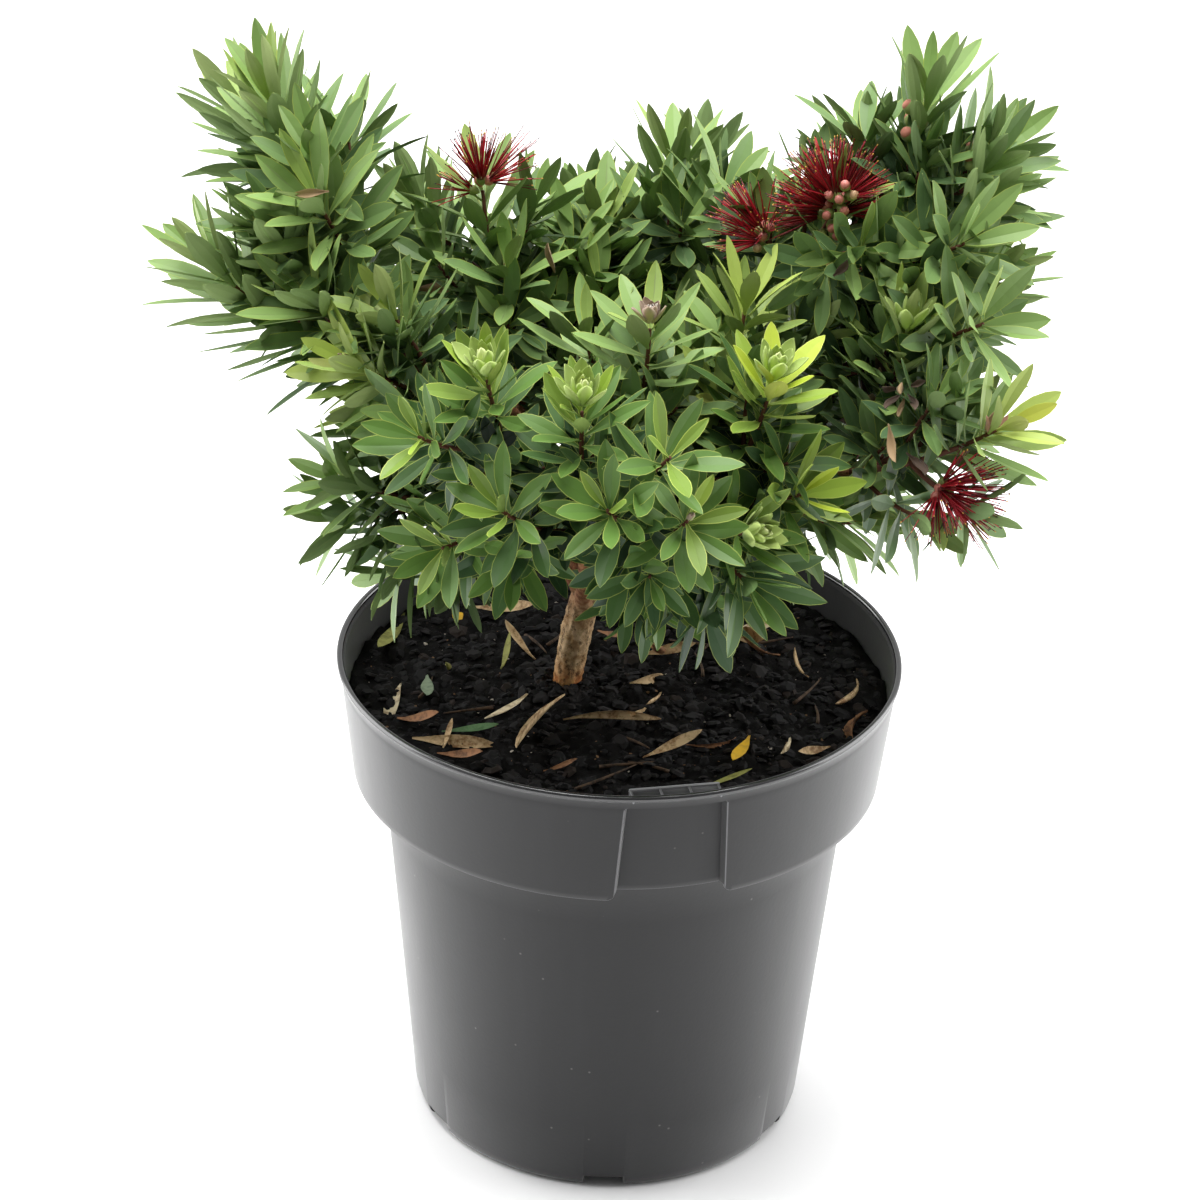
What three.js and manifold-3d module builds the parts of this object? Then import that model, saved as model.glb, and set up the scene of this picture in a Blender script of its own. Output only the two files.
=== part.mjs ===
// A dwarf bottlebrush shrub in a round plastic nursery pot. Millimetres, +Z up.
// The origin is the centre of the pot's flat underside, which stands on the floor.

import * as THREE from 'three';
import { mergeVertices } from 'three/addons/utils/BufferGeometryUtils.js';
import Module from 'manifold-3d';

const wasm = await Module();
wasm.setup();

// ---------------------------------------------------------------- driving dimensions

const CLEARANCE = 0.3;            // gap between pieces that touch
const LIMB_CLEARANCE = 0.35;      // gap that is cut round a limb for the next one
const FINEST_DETAIL = 0.04;       // slivers finer than this are merged away in a mass
const WELD_DISTANCE = 1e-4;       // corners nearer than this are one
const PAST = 1;                   // how far a cutting block runs past what it cuts

// Pot: a 200 mm nursery pot with a deep collar that hangs outside its narrower body.
const POT_HEIGHT = 182;
const POT_FACETS = 36;
const RIM_RADIUS = 100;
const RIM_BEAD = 2.4;             // height of the rolled rim, and its width
const RIM_CHAMFER = 0.7;
const COLLAR_WALL = 1.6;
const COLLAR_TOP_RADIUS = 99.2;
const COLLAR_FOOT_RADIUS = 94.1;
const COLLAR_FOOT_HEIGHT = 137.3; // lower edge of the hanging collar
const LEDGE_HEIGHT = 141;         // where the body steps out to the collar
const LEDGE_THICKNESS = 1.8;
const BODY_TOP_RADIUS = 83.8;
const BODY_FOOT_RADIUS = 70.5;
const BODY_WALL = 1.8;
const FOOT_ROUND = 4;             // rounding of the lower outer corner
const FLOOR_THICKNESS = 2.2;
const DRAIN_HOLES = 6;
const DRAIN_WIDTH = 15;
const DRAIN_HEIGHT = 5;
const DRAIN_REACH = 7;            // how far a drain hole runs in under the floor

// Label recess in the front of the collar, turned off the middle of the front.
const RECESS_TURN = 12;           // degrees to the right
const RECESS_TOP_WIDTH = 32;
const RECESS_FOOT_WIDTH = 37;
const RECESS_TOP_HEIGHT = 176.5;
const RECESS_DEPTH = 3;
const LABEL_RAIL = { width: 31, thickness: 1, height: 3, gap: 3.6, ribs: 3, below: 0.1 };

// Potting mix, with a low mound under the stem.
const MIX_EDGE_HEIGHT = 167;
const MIX_TOP_HEIGHT = 170;
const MIX_FLAT_RADIUS = 45;       // flat top around the stem's foot

// Trunk: leans from its foot to its fork.
const TRUNK_FOOT = new THREE.Vector3(-19, -5, MIX_TOP_HEIGHT + CLEARANCE);
const TRUNK_BELOW = 8;            // length below the ground that the flat cut takes off
const TRUNK_FORK = new THREE.Vector3(-12, -2, 207);
const TRUNK_RADIUS = 5.2;
const TRUNK_FORK_RADIUS = 4.8;
const ROOT_FLARE = 1.7;           // extra radius at the ground
const FLARE_SHARE = 0.3;          // share of the trunk's height that flares
const TRUNK_BOW = -1.2;           // sideways bow of the trunk, towards -X
const BOW_SHARE = 0.4;            // share of the trunk's height where it bows
const TRUNK_SIDES = 12;
const TRUNK_STEPS = 6;
const AXIS_POINTS = 12;           // places along a limb that stand for it in distances

// Boughs.
const BOUGH_SIDES = 5;
const BOUGH_STEPS = 3;
const MAIN_BOUGH_RADIUS = 3.3;
const SIDE_BOUGH_RADIUS = 2.0;
const BOUGH_TIP_RADIUS = 1.3;
const LEAVE_SHARE = 0.75;         // how directly a bough heads for its tip

// Leafy shoots.
const STEM_RADIUS = 1.3;
const STEM_TIP_RADIUS = 0.6;
const CORE_RADIUS = 1.2;          // how far the packed leaf feet thicken a shoot
const STEM_SIDES = 3;
const STEM_STEPS = 3;
const LEADER_FIRST_LEAF = 0.14;   // where its leaves begin, as a share of a shoot
const SIDE_FIRST_LEAF = 0.32;
const STEM_CURL = 12;             // degrees that a shoot turns upward along each half
const SIDE_SPREAD = 54;           // degrees between a side shoot and its leader
const SIDE_SHARE = 0.62;          // length of a side shoot against its leader
const SIDE_LENGTHS = [0.85, 1.15]; // how that length varies
const SIDE_FEET = [0.12, 0.6];    // stretch of the leader that side shoots leave
const SIDE_STAGGER = 0.5;         // how unevenly they leave it
const SIDE_ROLL_JITTER = 16;      // degrees
const SIDE_STRAIGHTEN = 0.45;     // how far a side shoot bends back to its leader's way
const SIDE_LIFT = 0.12;           // and upward
const GOLDEN_ANGLE = 137.5;

// Leaves: fewer than on the living plant, and wider.
const LEAF_LENGTHENING = 1.15;    // length against the living leaf's
const LEAF_WIDTH = 20;
const LEAF_WIDEST = 0.56;         // share of its length where a leaf is widest
const LEAF_THICKNESS = 1.4;
const LEAF_CAMBER = 1.6;
const LEAF_PITCH = 10.9;          // stem length for each leaf
const LEAF_BASE_ANGLE = 78;       // degrees from the stem at the foot of a shoot
const LEAF_TIP_ANGLE = 20;        // degrees from the stem at its tip
const LEAF_SCALES = [1, 0.85, 0.72, 0.6]; // sizes tried before a leaf is skipped,
const LEAF_TURNS = [0, -16, 16];  // each at these degrees nearer to its stem or off it
const LEAF_LEAN_JITTER = 8;       // degrees
const LEAF_ROUND_JITTER = 14;     // degrees
const LEAF_LENGTHS = [0.94, 1.06]; // how a leaf's length varies
const FOOT_LEAF_LENGTH = 0.82;    // length against the full one at the foot of a shoot,
const TIP_LEAF_LENGTH = 0.93;     // and from its middle on
const TIP_LEAVES = 2;             // leaves on every shoot besides those of its length
const LAST_LEAF = 0.985;          // share of a shoot where its last leaf stands
const CROWDING = 0.8;             // power by which leaves stand closer towards the tip
const FOLDING = 1.8;              // power by which they close up there
const LEAF_PROBES = [0.35, 0.6, 0.8, 1]; // shares of a leaf that keep to its mass's space
const LEAF_GUARD = 0.9;           // extra size of a leaf when it is tested for room
const SPACE_OVERLAP = 5;          // how far a leaf may pass the middle between masses

// Blossom and unopened fruit-like buds.
const BLOSSOM_CORE_RADIUS = 5;
const STAMEN_LENGTH = 21;
const STAMEN_RADIUS = 1.1;
const STAMEN_LENGTHS = [0.85, 1.1]; // how that length varies
const STAMEN_COUNT = 12;
const STAMEN_SIDES = 3;
const STAMEN_SPREAD = 1.7;        // share of the ball they cover, where 2 is all of it
const STAMEN_FOOT = 1;            // distance of a stamen's foot from the middle
const BUD_RADIUS = 2.8;
const BUD_SHARES = [0.72, 0.84, 0.96]; // where buds sit along a shoot
const BUD_ANGLE = 70;             // degrees from the shoot
const SEED = 1907;

const MATERIALS = {
  pot: { color: 0x4d4d50, roughness: 0.5, metalness: 0 },
  mix: { color: 0x17130f, roughness: 1.0, metalness: 0 },
  bark: { color: 0x8a6a48, roughness: 0.9, metalness: 0 },
  foliage: { color: 0x567a45, roughness: 0.6, metalness: 0 },
};

// A mass of foliage and the bough that carries it. The bough leaves its parent at a
// share of the parent's length. The leading shoot ends at [azimuth, reach, height]:
// degrees around the fork from +X towards +Y, horizontal distance from the fork, and
// height above the floor. It climbs at `rise` degrees, turned by `turn` degrees from
// its azimuth, and carries leaves along its last `leafy` millimetres. `rolls` places
// one side shoot each around the leader: 0 right, 90 under, 180 left and 270 above,
// as seen from the trunk. `leaf` is the length of the living leaves there.
function shoot(name, parent, share, tip, [rise, turn], leafy, rolls, leaf) {
  const [azimuth, reach, height] = tip;
  return { name, parent, share, azimuth, reach, height, rise, turn, leafy, rolls, leaf };
}

const SHOOTS = [
  shoot('left_high', 'trunk', 0.92, [164, 116, 374], [62, 10], 84, [200, 20], 35),
  shoot('right_high', 'trunk', 0.95, [18, 116, 381], [70, 0], 72, [200, 20, 60], 33),
  shoot('front', 'trunk', 0.84, [268, 88, 322], [66, 0], 72, [30, 160], 25),
  shoot('top_back', 'trunk', 0.97, [72, 88, 339], [66, 0], 76, [200, 320, 90], 32),
  shoot('left_far', 'left_high', 0.5, [179, 129, 326], [36, 0], 74, [225, 290], 34),
  shoot('left_inner', 'left_high', 0.45, [204, 88, 310], [26, 0], 60, [40, 300], 29),
  shoot('left_low', 'left_high', 0.28, [198, 89, 262], [16, 0], 64, [90, 300, 50], 28),
  shoot('top_left', 'left_high', 0.42, [134, 58, 343], [72, 0], 66, [240, 110], 30),
  shoot('back_left', 'left_high', 0.46, [122, 113, 306], [50, 0], 74, [30, 220], 32),
  shoot('back_left_low', 'left_high', 0.24, [132, 106, 264], [26, 0], 74, [0, 270], 31),
  shoot('front_left', 'front', 0.42, [243, 76, 322], [60, 0], 66, [0, 70], 25),
  shoot('front_left_low', 'front', 0.22, [237, 88, 261], [0, 0], 56, [0, 180], 24),
  shoot('front_low', 'front', 0.5, [287, 110, 291], [32, 0], 60, [180, 340], 25),
  shoot('front_right_low', 'front', 0.3, [303, 98, 256], [-12, 0], 56, [0], 29),
  shoot('trunk_cluster', 'front', 0.1, [300, 58, 234], [-2, 0], 38, [180], 23),
  shoot('centre', 'top_back', 0.34, [88, 56, 326], [78, 0], 62, [100, 250], 30),
  shoot('middle', 'top_back', 0.14, [294, 45, 330], [76, 0], 62, [300], 28),
  shoot('back', 'top_back', 0.46, [85, 122, 288], [38, 0], 74, [0, 180, 60], 33),
  shoot('lime_middle', 'right_high', 0.2, [345, 52, 324], [74, 0], 60, [0, 120], 29),
  shoot('right_blossom', 'right_high', 0.5, [8, 85, 361], [58, -50], 60, [315, 60], 29),
  shoot('right_far', 'right_high', 0.75, [4, 130, 356], [36, -8], 64, [60, 0], 32),
  shoot('right_side', 'right_high', 0.55, [357, 133, 336], [36, 0], 72, [250, 350], 30),
  shoot('right_inner', 'right_high', 0.46, [343, 108, 326], [72, 0], 58, [180], 29),
  shoot('right_lime', 'right_high', 0.34, [333, 151, 310], [30, 0], 62, [190, 55], 28),
  shoot('front_right_lime', 'right_high', 0.12, [315, 83, 319], [66, 0], 60, [90], 26),
  shoot('right_low', 'right_high', 0.22, [330, 96, 268], [18, 0], 54, [0, 150], 27),
  shoot('back_right', 'right_high', 0.36, [54, 118, 302], [44, 0], 74, [10, 180], 33),
  shoot('back_right_low', 'right_high', 0.26, [32, 130, 266], [22, 0], 74, [0, 180], 31),
];

// Each blossom: its mass, its shoot there, where 0 is the leader, and its place along it.
const BLOSSOMS = [
  ['top_left', 0, 0.97],
  ['right_blossom', 0, 0.97],
  ['right_blossom', 1, 0.9],
  ['right_lime', 2, 0.8],
];

// The mass that carries the round buds, and how many.
const BUDS = { right_high: 6 };

// ---------------------------------------------------------------- helpers

const radians = THREE.MathUtils.degToRad;
const lerp = THREE.MathUtils.lerp;
const UP = new THREE.Vector3(0, 0, 1);

function randomSource(start) {
  let state = start;
  return () => {
    state = (state * 16807) % 2147483647;
    return state / 2147483647;
  };
}

function direction(azimuth, rise) {
  const flat = Math.cos(radians(rise));
  const turn = radians(azimuth);
  return new THREE.Vector3(Math.cos(turn) * flat, Math.sin(turn) * flat, Math.sin(radians(rise)));
}

function solidOf(geometry) {
  const bare = geometry.clone();
  for (const name of Object.keys(bare.attributes)) {
    if (name !== 'position') bare.deleteAttribute(name);
  }
  const merged = mergeVertices(bare, WELD_DISTANCE);
  const vertProperties = new Float32Array(merged.attributes.position.array);
  const triVerts = new Uint32Array(merged.index.array);
  return new wasm.Manifold(new wasm.Mesh({ numProp: 3, vertProperties, triVerts }));
}

function geometryOf(solid) {
  const mesh = solid.getMesh();
  const geometry = new THREE.BufferGeometry();
  geometry.setAttribute('position', new THREE.BufferAttribute(mesh.vertProperties, 3));
  geometry.setIndex(new THREE.BufferAttribute(mesh.triVerts, 1));
  return geometry;
}

function boxOf(solid) {
  const { min, max } = solid.boundingBox();
  return new THREE.Box3(new THREE.Vector3(...min), new THREE.Vector3(...max));
}

// The largest connected shell: this drops loose scraps and fills sealed hollows.
function mainBody(solid) {
  const pieces = solid.decompose();
  return pieces.reduce((best, piece) => (piece.volume() > best.volume() ? piece : best));
}

function namedMesh(name, solid, material) {
  const mesh = new THREE.Mesh(geometryOf(solid), new THREE.MeshStandardMaterial(material));
  mesh.name = name;
  return mesh;
}

// A straight cylinder bent onto a curve, with the radius given at each share of it.
function taperedTube(curve, radiusAt, sides, steps) {
  const geometry = new THREE.CylinderGeometry(1, 1, 1, sides, steps);
  const frames = curve.computeFrenetFrames(steps, false);
  const position = geometry.attributes.position;
  for (let i = 0; i < position.count; i++) {
    const share = position.getY(i) + 0.5;
    const ring = Math.round(share * steps);
    const radius = radiusAt(share);
    const point = curve.getPoint(share)
      .addScaledVector(frames.normals[ring], position.getZ(i) * radius)
      .addScaledVector(frames.binormals[ring], position.getX(i) * radius);
    position.setXYZ(i, point.x, point.y, point.z);
  }
  return geometry;
}

// ---------------------------------------------------------------- pot and potting mix

function lathe(profile) {
  return solidOf(new THREE.LatheGeometry(profile, POT_FACETS).rotateX(Math.PI / 2));
}

function point2(radius, height) {
  return new THREE.Vector2(radius, height);
}

function bodyRadiusAt(height) {
  return lerp(BODY_FOOT_RADIUS, BODY_TOP_RADIUS, height / LEDGE_HEIGHT);
}

function collarRadiusAt(height) {
  const share = (height - COLLAR_FOOT_HEIGHT) / (POT_HEIGHT - COLLAR_FOOT_HEIGHT);
  return lerp(COLLAR_FOOT_RADIUS, COLLAR_TOP_RADIUS, share);
}

// The inner face of the pot from its floor to its rim, moved in by `inset`.
function potInside(inset) {
  const ledgeTop = LEDGE_HEIGHT + LEDGE_THICKNESS;
  const floorTop = FLOOR_THICKNESS + inset;
  return [
    point2(0, floorTop),
    point2(bodyRadiusAt(floorTop) - BODY_WALL - inset, floorTop),
    point2(BODY_TOP_RADIUS - BODY_WALL - inset, ledgeTop + inset),
    point2(collarRadiusAt(ledgeTop) - COLLAR_WALL - inset, ledgeTop + inset),
  ];
}

function potShell() {
  const collarInner = (height) => collarRadiusAt(height) - COLLAR_WALL;
  const footRound = [];
  for (const angle of [0, 45, 90]) {
    footRound.push(point2(
      BODY_FOOT_RADIUS - FOOT_ROUND + FOOT_ROUND * Math.sin(radians(angle)),
      FOOT_ROUND - FOOT_ROUND * Math.cos(radians(angle)),
    ));
  }
  const profile = [
    point2(0, 0),
    ...footRound,
    point2(BODY_TOP_RADIUS, LEDGE_HEIGHT),
    point2(collarInner(LEDGE_HEIGHT), LEDGE_HEIGHT),
    point2(collarInner(COLLAR_FOOT_HEIGHT), COLLAR_FOOT_HEIGHT),
    point2(COLLAR_FOOT_RADIUS, COLLAR_FOOT_HEIGHT),
    point2(collarRadiusAt(POT_HEIGHT - RIM_BEAD), POT_HEIGHT - RIM_BEAD),
    point2(RIM_RADIUS, POT_HEIGHT - RIM_BEAD + RIM_CHAMFER),
    point2(RIM_RADIUS, POT_HEIGHT - RIM_CHAMFER),
    point2(RIM_RADIUS - RIM_CHAMFER, POT_HEIGHT),
    point2(RIM_RADIUS - RIM_BEAD, POT_HEIGHT),
    point2(collarInner(POT_HEIGHT - RIM_BEAD), POT_HEIGHT - RIM_BEAD),
    ...potInside(0).reverse(),
  ];
  return lathe(profile);
}

function drainCutters() {
  const cutters = [];
  for (let i = 0; i < DRAIN_HOLES; i++) {
    const cutter = new THREE.BoxGeometry(2 * DRAIN_REACH, DRAIN_WIDTH, 2 * DRAIN_HEIGHT);
    cutter.translate(BODY_FOOT_RADIUS, 0, 0);
    cutter.rotateZ(radians(-90 + i * 360 / DRAIN_HOLES));
    cutters.push(solidOf(cutter));
  }
  return cutters;
}

// A wedge of the collar's front: its outline in width and height, pushed from `near`
// to `far` away from the pot's axis and turned to the recess's place.
function frontWedge(topWidth, footWidth, footHeight, topHeight, near, far) {
  const outline = new THREE.Shape([
    point2(-footWidth / 2, footHeight),
    point2(footWidth / 2, footHeight),
    point2(topWidth / 2, topHeight),
    point2(-topWidth / 2, topHeight),
  ]);
  const wedge = new THREE.ExtrudeGeometry(outline, { depth: far - near, bevelEnabled: false });
  wedge.rotateX(Math.PI / 2).translate(0, -near, 0).rotateZ(radians(RECESS_TURN));
  return solidOf(wedge);
}

// The collar moved in by the recess's depth, kept only where the recess is.
function recessWall() {
  const foot = COLLAR_FOOT_HEIGHT + RECESS_DEPTH;
  const top = RECESS_TOP_HEIGHT + COLLAR_WALL;
  const outer = (height) => collarRadiusAt(height) - RECESS_DEPTH;
  const inner = (height) => outer(height) - COLLAR_WALL;
  const ring = lathe([
    point2(inner(foot), foot),
    point2(outer(foot), foot),
    point2(outer(top), top),
    point2(inner(top), top),
    point2(inner(foot), foot),
  ]);
  const frame = lathe([
    point2(inner(foot), foot),
    point2(collarRadiusAt(foot), foot),
    point2(collarRadiusAt(top), top),
    point2(inner(top), top),
    point2(inner(foot), foot),
  ]);
  const jamb = 2 * COLLAR_WALL;
  const reach = [RIM_RADIUS - RECESS_FOOT_WIDTH, RIM_RADIUS + PAST];
  const around = frontWedge(
    RECESS_TOP_WIDTH + jamb, RECESS_FOOT_WIDTH + jamb, foot - PAST, top, ...reach,
  );
  const hollow = frontWedge(
    RECESS_TOP_WIDTH, RECESS_FOOT_WIDTH, foot - 2 * PAST, RECESS_TOP_HEIGHT, ...reach,
  );
  return ring.intersect(around).add(frame.intersect(around).subtract(hollow));
}

// A strip just inside the rim that holds a plant label, on short ribs.
function labelRail() {
  const rail = LABEL_RAIL;
  const wallRadius = RIM_RADIUS - RIM_BEAD;
  const place = (geometry, x, radius) => {
    geometry.translate(x, -radius, POT_HEIGHT - rail.height / 2 - rail.below);
    return solidOf(geometry.rotateZ(radians(RECESS_TURN)));
  };
  const stripRadius = wallRadius - rail.gap - rail.thickness;
  let solid = place(new THREE.BoxGeometry(rail.width, rail.thickness, rail.height), 0, stripRadius);
  for (let i = 0; i < rail.ribs; i++) {
    const x = (i / (rail.ribs - 1) - 0.5) * (rail.width - rail.thickness);
    const depth = rail.gap + 3 * rail.thickness;
    const rib = new THREE.BoxGeometry(rail.thickness, depth, rail.height);
    solid = solid.add(place(rib, x, stripRadius + depth / 2));
  }
  return solid;
}

function pot() {
  const outerCut = frontWedge(
    RECESS_TOP_WIDTH, RECESS_FOOT_WIDTH, COLLAR_FOOT_HEIGHT - PAST, RECESS_TOP_HEIGHT,
    COLLAR_FOOT_RADIUS - RECESS_DEPTH - 2 * COLLAR_WALL, RIM_RADIUS + PAST,
  );
  const ledgeKeep = lathe([
    point2(BODY_TOP_RADIUS - BODY_WALL, LEDGE_HEIGHT),
    point2(collarRadiusAt(LEDGE_HEIGHT) - RECESS_DEPTH, LEDGE_HEIGHT),
    point2(collarRadiusAt(LEDGE_HEIGHT) - RECESS_DEPTH, LEDGE_HEIGHT + LEDGE_THICKNESS),
    point2(BODY_TOP_RADIUS - BODY_WALL, LEDGE_HEIGHT + LEDGE_THICKNESS),
    point2(BODY_TOP_RADIUS - BODY_WALL, LEDGE_HEIGHT),
  ]);
  let solid = potShell().subtract(outerCut).add(recessWall()).add(ledgeKeep).add(labelRail());
  for (const cutter of drainCutters()) {
    solid = solid.subtract(cutter);
  }
  return mainBody(solid);
}

function pottingMix() {
  const inside = potInside(CLEARANCE);
  const edgeRadius = collarRadiusAt(MIX_EDGE_HEIGHT) - COLLAR_WALL - CLEARANCE;
  const solid = lathe([
    ...inside,
    point2(edgeRadius, MIX_EDGE_HEIGHT),
    point2(MIX_FLAT_RADIUS, MIX_TOP_HEIGHT),
    point2(0, MIX_TOP_HEIGHT),
  ]);
  const block = frontWedge(
    RECESS_TOP_WIDTH + 3 * COLLAR_WALL, RECESS_FOOT_WIDTH + 3 * COLLAR_WALL,
    LEDGE_HEIGHT - PAST, POT_HEIGHT,
    COLLAR_FOOT_RADIUS - RECESS_DEPTH - 3 * COLLAR_WALL, RIM_RADIUS + PAST,
  );
  return mainBody(solid.subtract(block));
}

// ---------------------------------------------------------------- limbs

// A trunk, a bough or a stem: a curve with a radius at each share of its length.
class Limb {
  constructor(name, curve, radiusAt, sides, steps) {
    Object.assign(this, { name, curve, radiusAt, sides, steps });
    this.length = curve.getLength();
    this.points = curve.getPoints(AXIS_POINTS);
  }

  tube(extra = 0) {
    const radiusAt = (share) => this.radiusAt(share) + extra;
    return solidOf(taperedTube(this.curve, radiusAt, this.sides, this.steps));
  }
}

// Solids that are in place already, with their boxes for a quick first test.
class Occupied {
  constructor() {
    this.entries = [];
  }

  add(solid, owner) {
    this.entries.push({ solid, owner, box: boxOf(solid) });
  }

  blocks(solid, owner) {
    const box = boxOf(solid);
    return this.entries.some((entry) => {
      if (entry.owner === owner || !entry.box.intersectsBox(box)) return false;
      return !entry.solid.intersect(solid).isEmpty();
    });
  }
}

function trunkLimb() {
  const start = TRUNK_FOOT.clone().addScaledVector(UP, -TRUNK_BELOW);
  const bend = TRUNK_FOOT.clone().lerp(TRUNK_FORK, BOW_SHARE);
  bend.x += TRUNK_BOW;
  const curve = new THREE.QuadraticBezierCurve3(start, bend, TRUNK_FORK);
  const radiusAt = (share) => {
    const flare = Math.max(0, 1 - share / FLARE_SHARE);
    return lerp(TRUNK_RADIUS, TRUNK_FORK_RADIUS, share) + ROOT_FLARE * flare * flare;
  };
  return new Limb('trunk', curve, radiusAt, TRUNK_SIDES, TRUNK_STEPS);
}

// The leading shoot's axis, from its foot to its tip.
function leaderCurve(spec) {
  const outward = direction(spec.azimuth, 0).multiplyScalar(spec.reach);
  const tip = new THREE.Vector3(TRUNK_FORK.x + outward.x, TRUNK_FORK.y + outward.y, spec.height);
  const heading = spec.azimuth + spec.turn;
  const foot = tip.clone().addScaledVector(direction(heading, spec.rise), -spec.leafy);
  const early = foot.clone().addScaledVector(direction(heading, spec.rise - STEM_CURL), spec.leafy / 3);
  const late = tip.clone().addScaledVector(direction(heading, spec.rise + STEM_CURL), -spec.leafy / 3);
  return new THREE.CubicBezierCurve3(foot, early, late, tip);
}

function boughLimb(spec, parent, leader) {
  const start = parent.curve.getPoint(spec.share);
  const end = leader.getPoint(0).addScaledVector(leader.getTangent(0), -CLEARANCE);
  const span = start.distanceTo(end);
  const along = parent.curve.getTangent(spec.share);
  const towards = end.clone().sub(start).normalize();
  const leave = along.lerp(towards, LEAVE_SHARE).normalize();
  const curve = new THREE.CubicBezierCurve3(
    start,
    start.clone().addScaledVector(leave, span / 3),
    end.clone().addScaledVector(leader.getTangent(0), -span / 3),
    end,
  );
  const startRadius = parent.name === 'trunk' ? MAIN_BOUGH_RADIUS : SIDE_BOUGH_RADIUS;
  const radiusAt = (share) => lerp(startRadius, BOUGH_TIP_RADIUS, share);
  return new Limb(spec.name, curve, radiusAt, BOUGH_SIDES, BOUGH_STEPS);
}

// ---------------------------------------------------------------- foliage

// Side shoots leave the leader at even steps along it and around it, then straighten.
function sideCurve(leader, spec, index, random) {
  const share = lerp(...SIDE_FEET, (index + SIDE_STAGGER * random()) / spec.rolls.length);
  const start = leader.getPoint(share);
  const axis = leader.getTangent(share);
  const turn = radians(spec.rolls[index] + SIDE_ROLL_JITTER * (random() - 0.5));
  const out = axis.clone().cross(UP).normalize().applyAxisAngle(axis, turn);
  const length = spec.leafy * SIDE_SHARE * lerp(...SIDE_LENGTHS, random());
  const spread = radians(SIDE_SPREAD);
  const early = axis.clone().multiplyScalar(Math.cos(spread)).addScaledVector(out, Math.sin(spread));
  const late = early.clone().lerp(axis, SIDE_STRAIGHTEN).addScaledVector(UP, SIDE_LIFT).normalize();
  const bend = start.clone().addScaledVector(early, length / 2);
  return new THREE.QuadraticBezierCurve3(start, bend, bend.clone().addScaledVector(late, length / 2));
}

// A leaf blade: flat above and keeled below, widest past its middle. It is a three-sided
// spindle from its foot to its tip.
function leafShape(length, extra) {
  const [width, thickness] = [LEAF_WIDTH + extra, LEAF_THICKNESS + extra];
  const geometry = new THREE.CylinderGeometry(0, 0, 2, 3, 2, true);
  const position = geometry.attributes.position;
  for (let i = 0; i < position.count; i++) {
    const [corner, end] = [i % 4 % 3, position.getY(i)];
    if (end !== 0) {
      position.setXYZ(i, length * (1 + end) / 2, 0, 0);
    } else {
      const across = [0, 1, -1][corner];
      const height = LEAF_CAMBER + (corner === 0 ? -thickness : extra / 2);
      position.setXYZ(i, length * LEAF_WIDEST, across * width / 2, height);
    }
  }
  return geometry;
}

// Places along a leaf that tell whose space it reaches into.
function leafProbes(frame, length) {
  return LEAF_PROBES.map((share) => new THREE.Vector3(length * share, 0, 0).applyMatrix4(frame));
}

function distanceToAxes(point, axes) {
  return axes.reduce((least, axis) => {
    return axis.points.reduce((near, place) => Math.min(near, place.distanceTo(point)), least);
  }, Infinity);
}

// A mass keeps to its own space: about as near to its own shoots as to any other mass's.
function staysInSpace(frame, length, mass, masses) {
  return leafProbes(frame, length).every((probe) => {
    const own = distanceToAxes(probe, mass.axes) - SPACE_OVERLAP;
    return masses.every((other) => other === mass || distanceToAxes(probe, other.axes) > own);
  });
}

function leafFrame(axis, share, around, lean) {
  const tangent = axis.curve.getTangent(share);
  const radial = tangent.clone().cross(UP).normalize().applyAxisAngle(tangent, around);
  const forward = tangent.clone().multiplyScalar(Math.cos(lean)).addScaledVector(radial, Math.sin(lean));
  const across = tangent.clone().cross(radial).normalize();
  const normal = forward.clone().cross(across);
  const frame = new THREE.Matrix4().makeBasis(forward, across, normal);
  return frame.setPosition(axis.curve.getPoint(share));
}

function leafAt(frame, length, extra = 0) {
  return solidOf(leafShape(length + extra, extra).applyMatrix4(frame));
}

// Leaves spiral along a shoot, spreading at its foot and closing up at its tip. Each is
// made shorter until it has room, or is skipped.
function leavesOf(axis, mass, masses, occupied, random) {
  const count = Math.round(axis.length / LEAF_PITCH) + TIP_LEAVES;
  const start = 360 * random();
  const leaves = [];
  for (let i = 0; i < count; i++) {
    const progress = i / (count - 1);
    const share = lerp(axis.first, LAST_LEAF, progress ** CROWDING);
    const lean = radians(
      lerp(LEAF_BASE_ANGLE, LEAF_TIP_ANGLE, progress ** FOLDING) + LEAF_LEAN_JITTER * (random() - 0.5),
    );
    const around = radians(start + i * GOLDEN_ANGLE + LEAF_ROUND_JITTER * (random() - 0.5));
    const stage = lerp(FOOT_LEAF_LENGTH, TIP_LEAF_LENGTH, Math.min(1, 2 * progress));
    const full = mass.leaf * LEAF_LENGTHENING * stage * lerp(...LEAF_LENGTHS, random());
    const trials = LEAF_SCALES.flatMap((scale) => LEAF_TURNS.map((turn) => {
      return { frame: leafFrame(axis, share, around, lean + radians(turn)), length: full * scale };
    }));
    const fit = trials.find(({ frame, length }) => {
      return staysInSpace(frame, length, mass, masses)
        && !occupied.blocks(leafAt(frame, length, LEAF_GUARD), axis);
    });
    if (fit) {
      const leaf = leafAt(fit.frame, fit.length);
      occupied.add(leaf, axis);
      leaves.push(leaf);
    }
  }
  return leaves;
}

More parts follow.
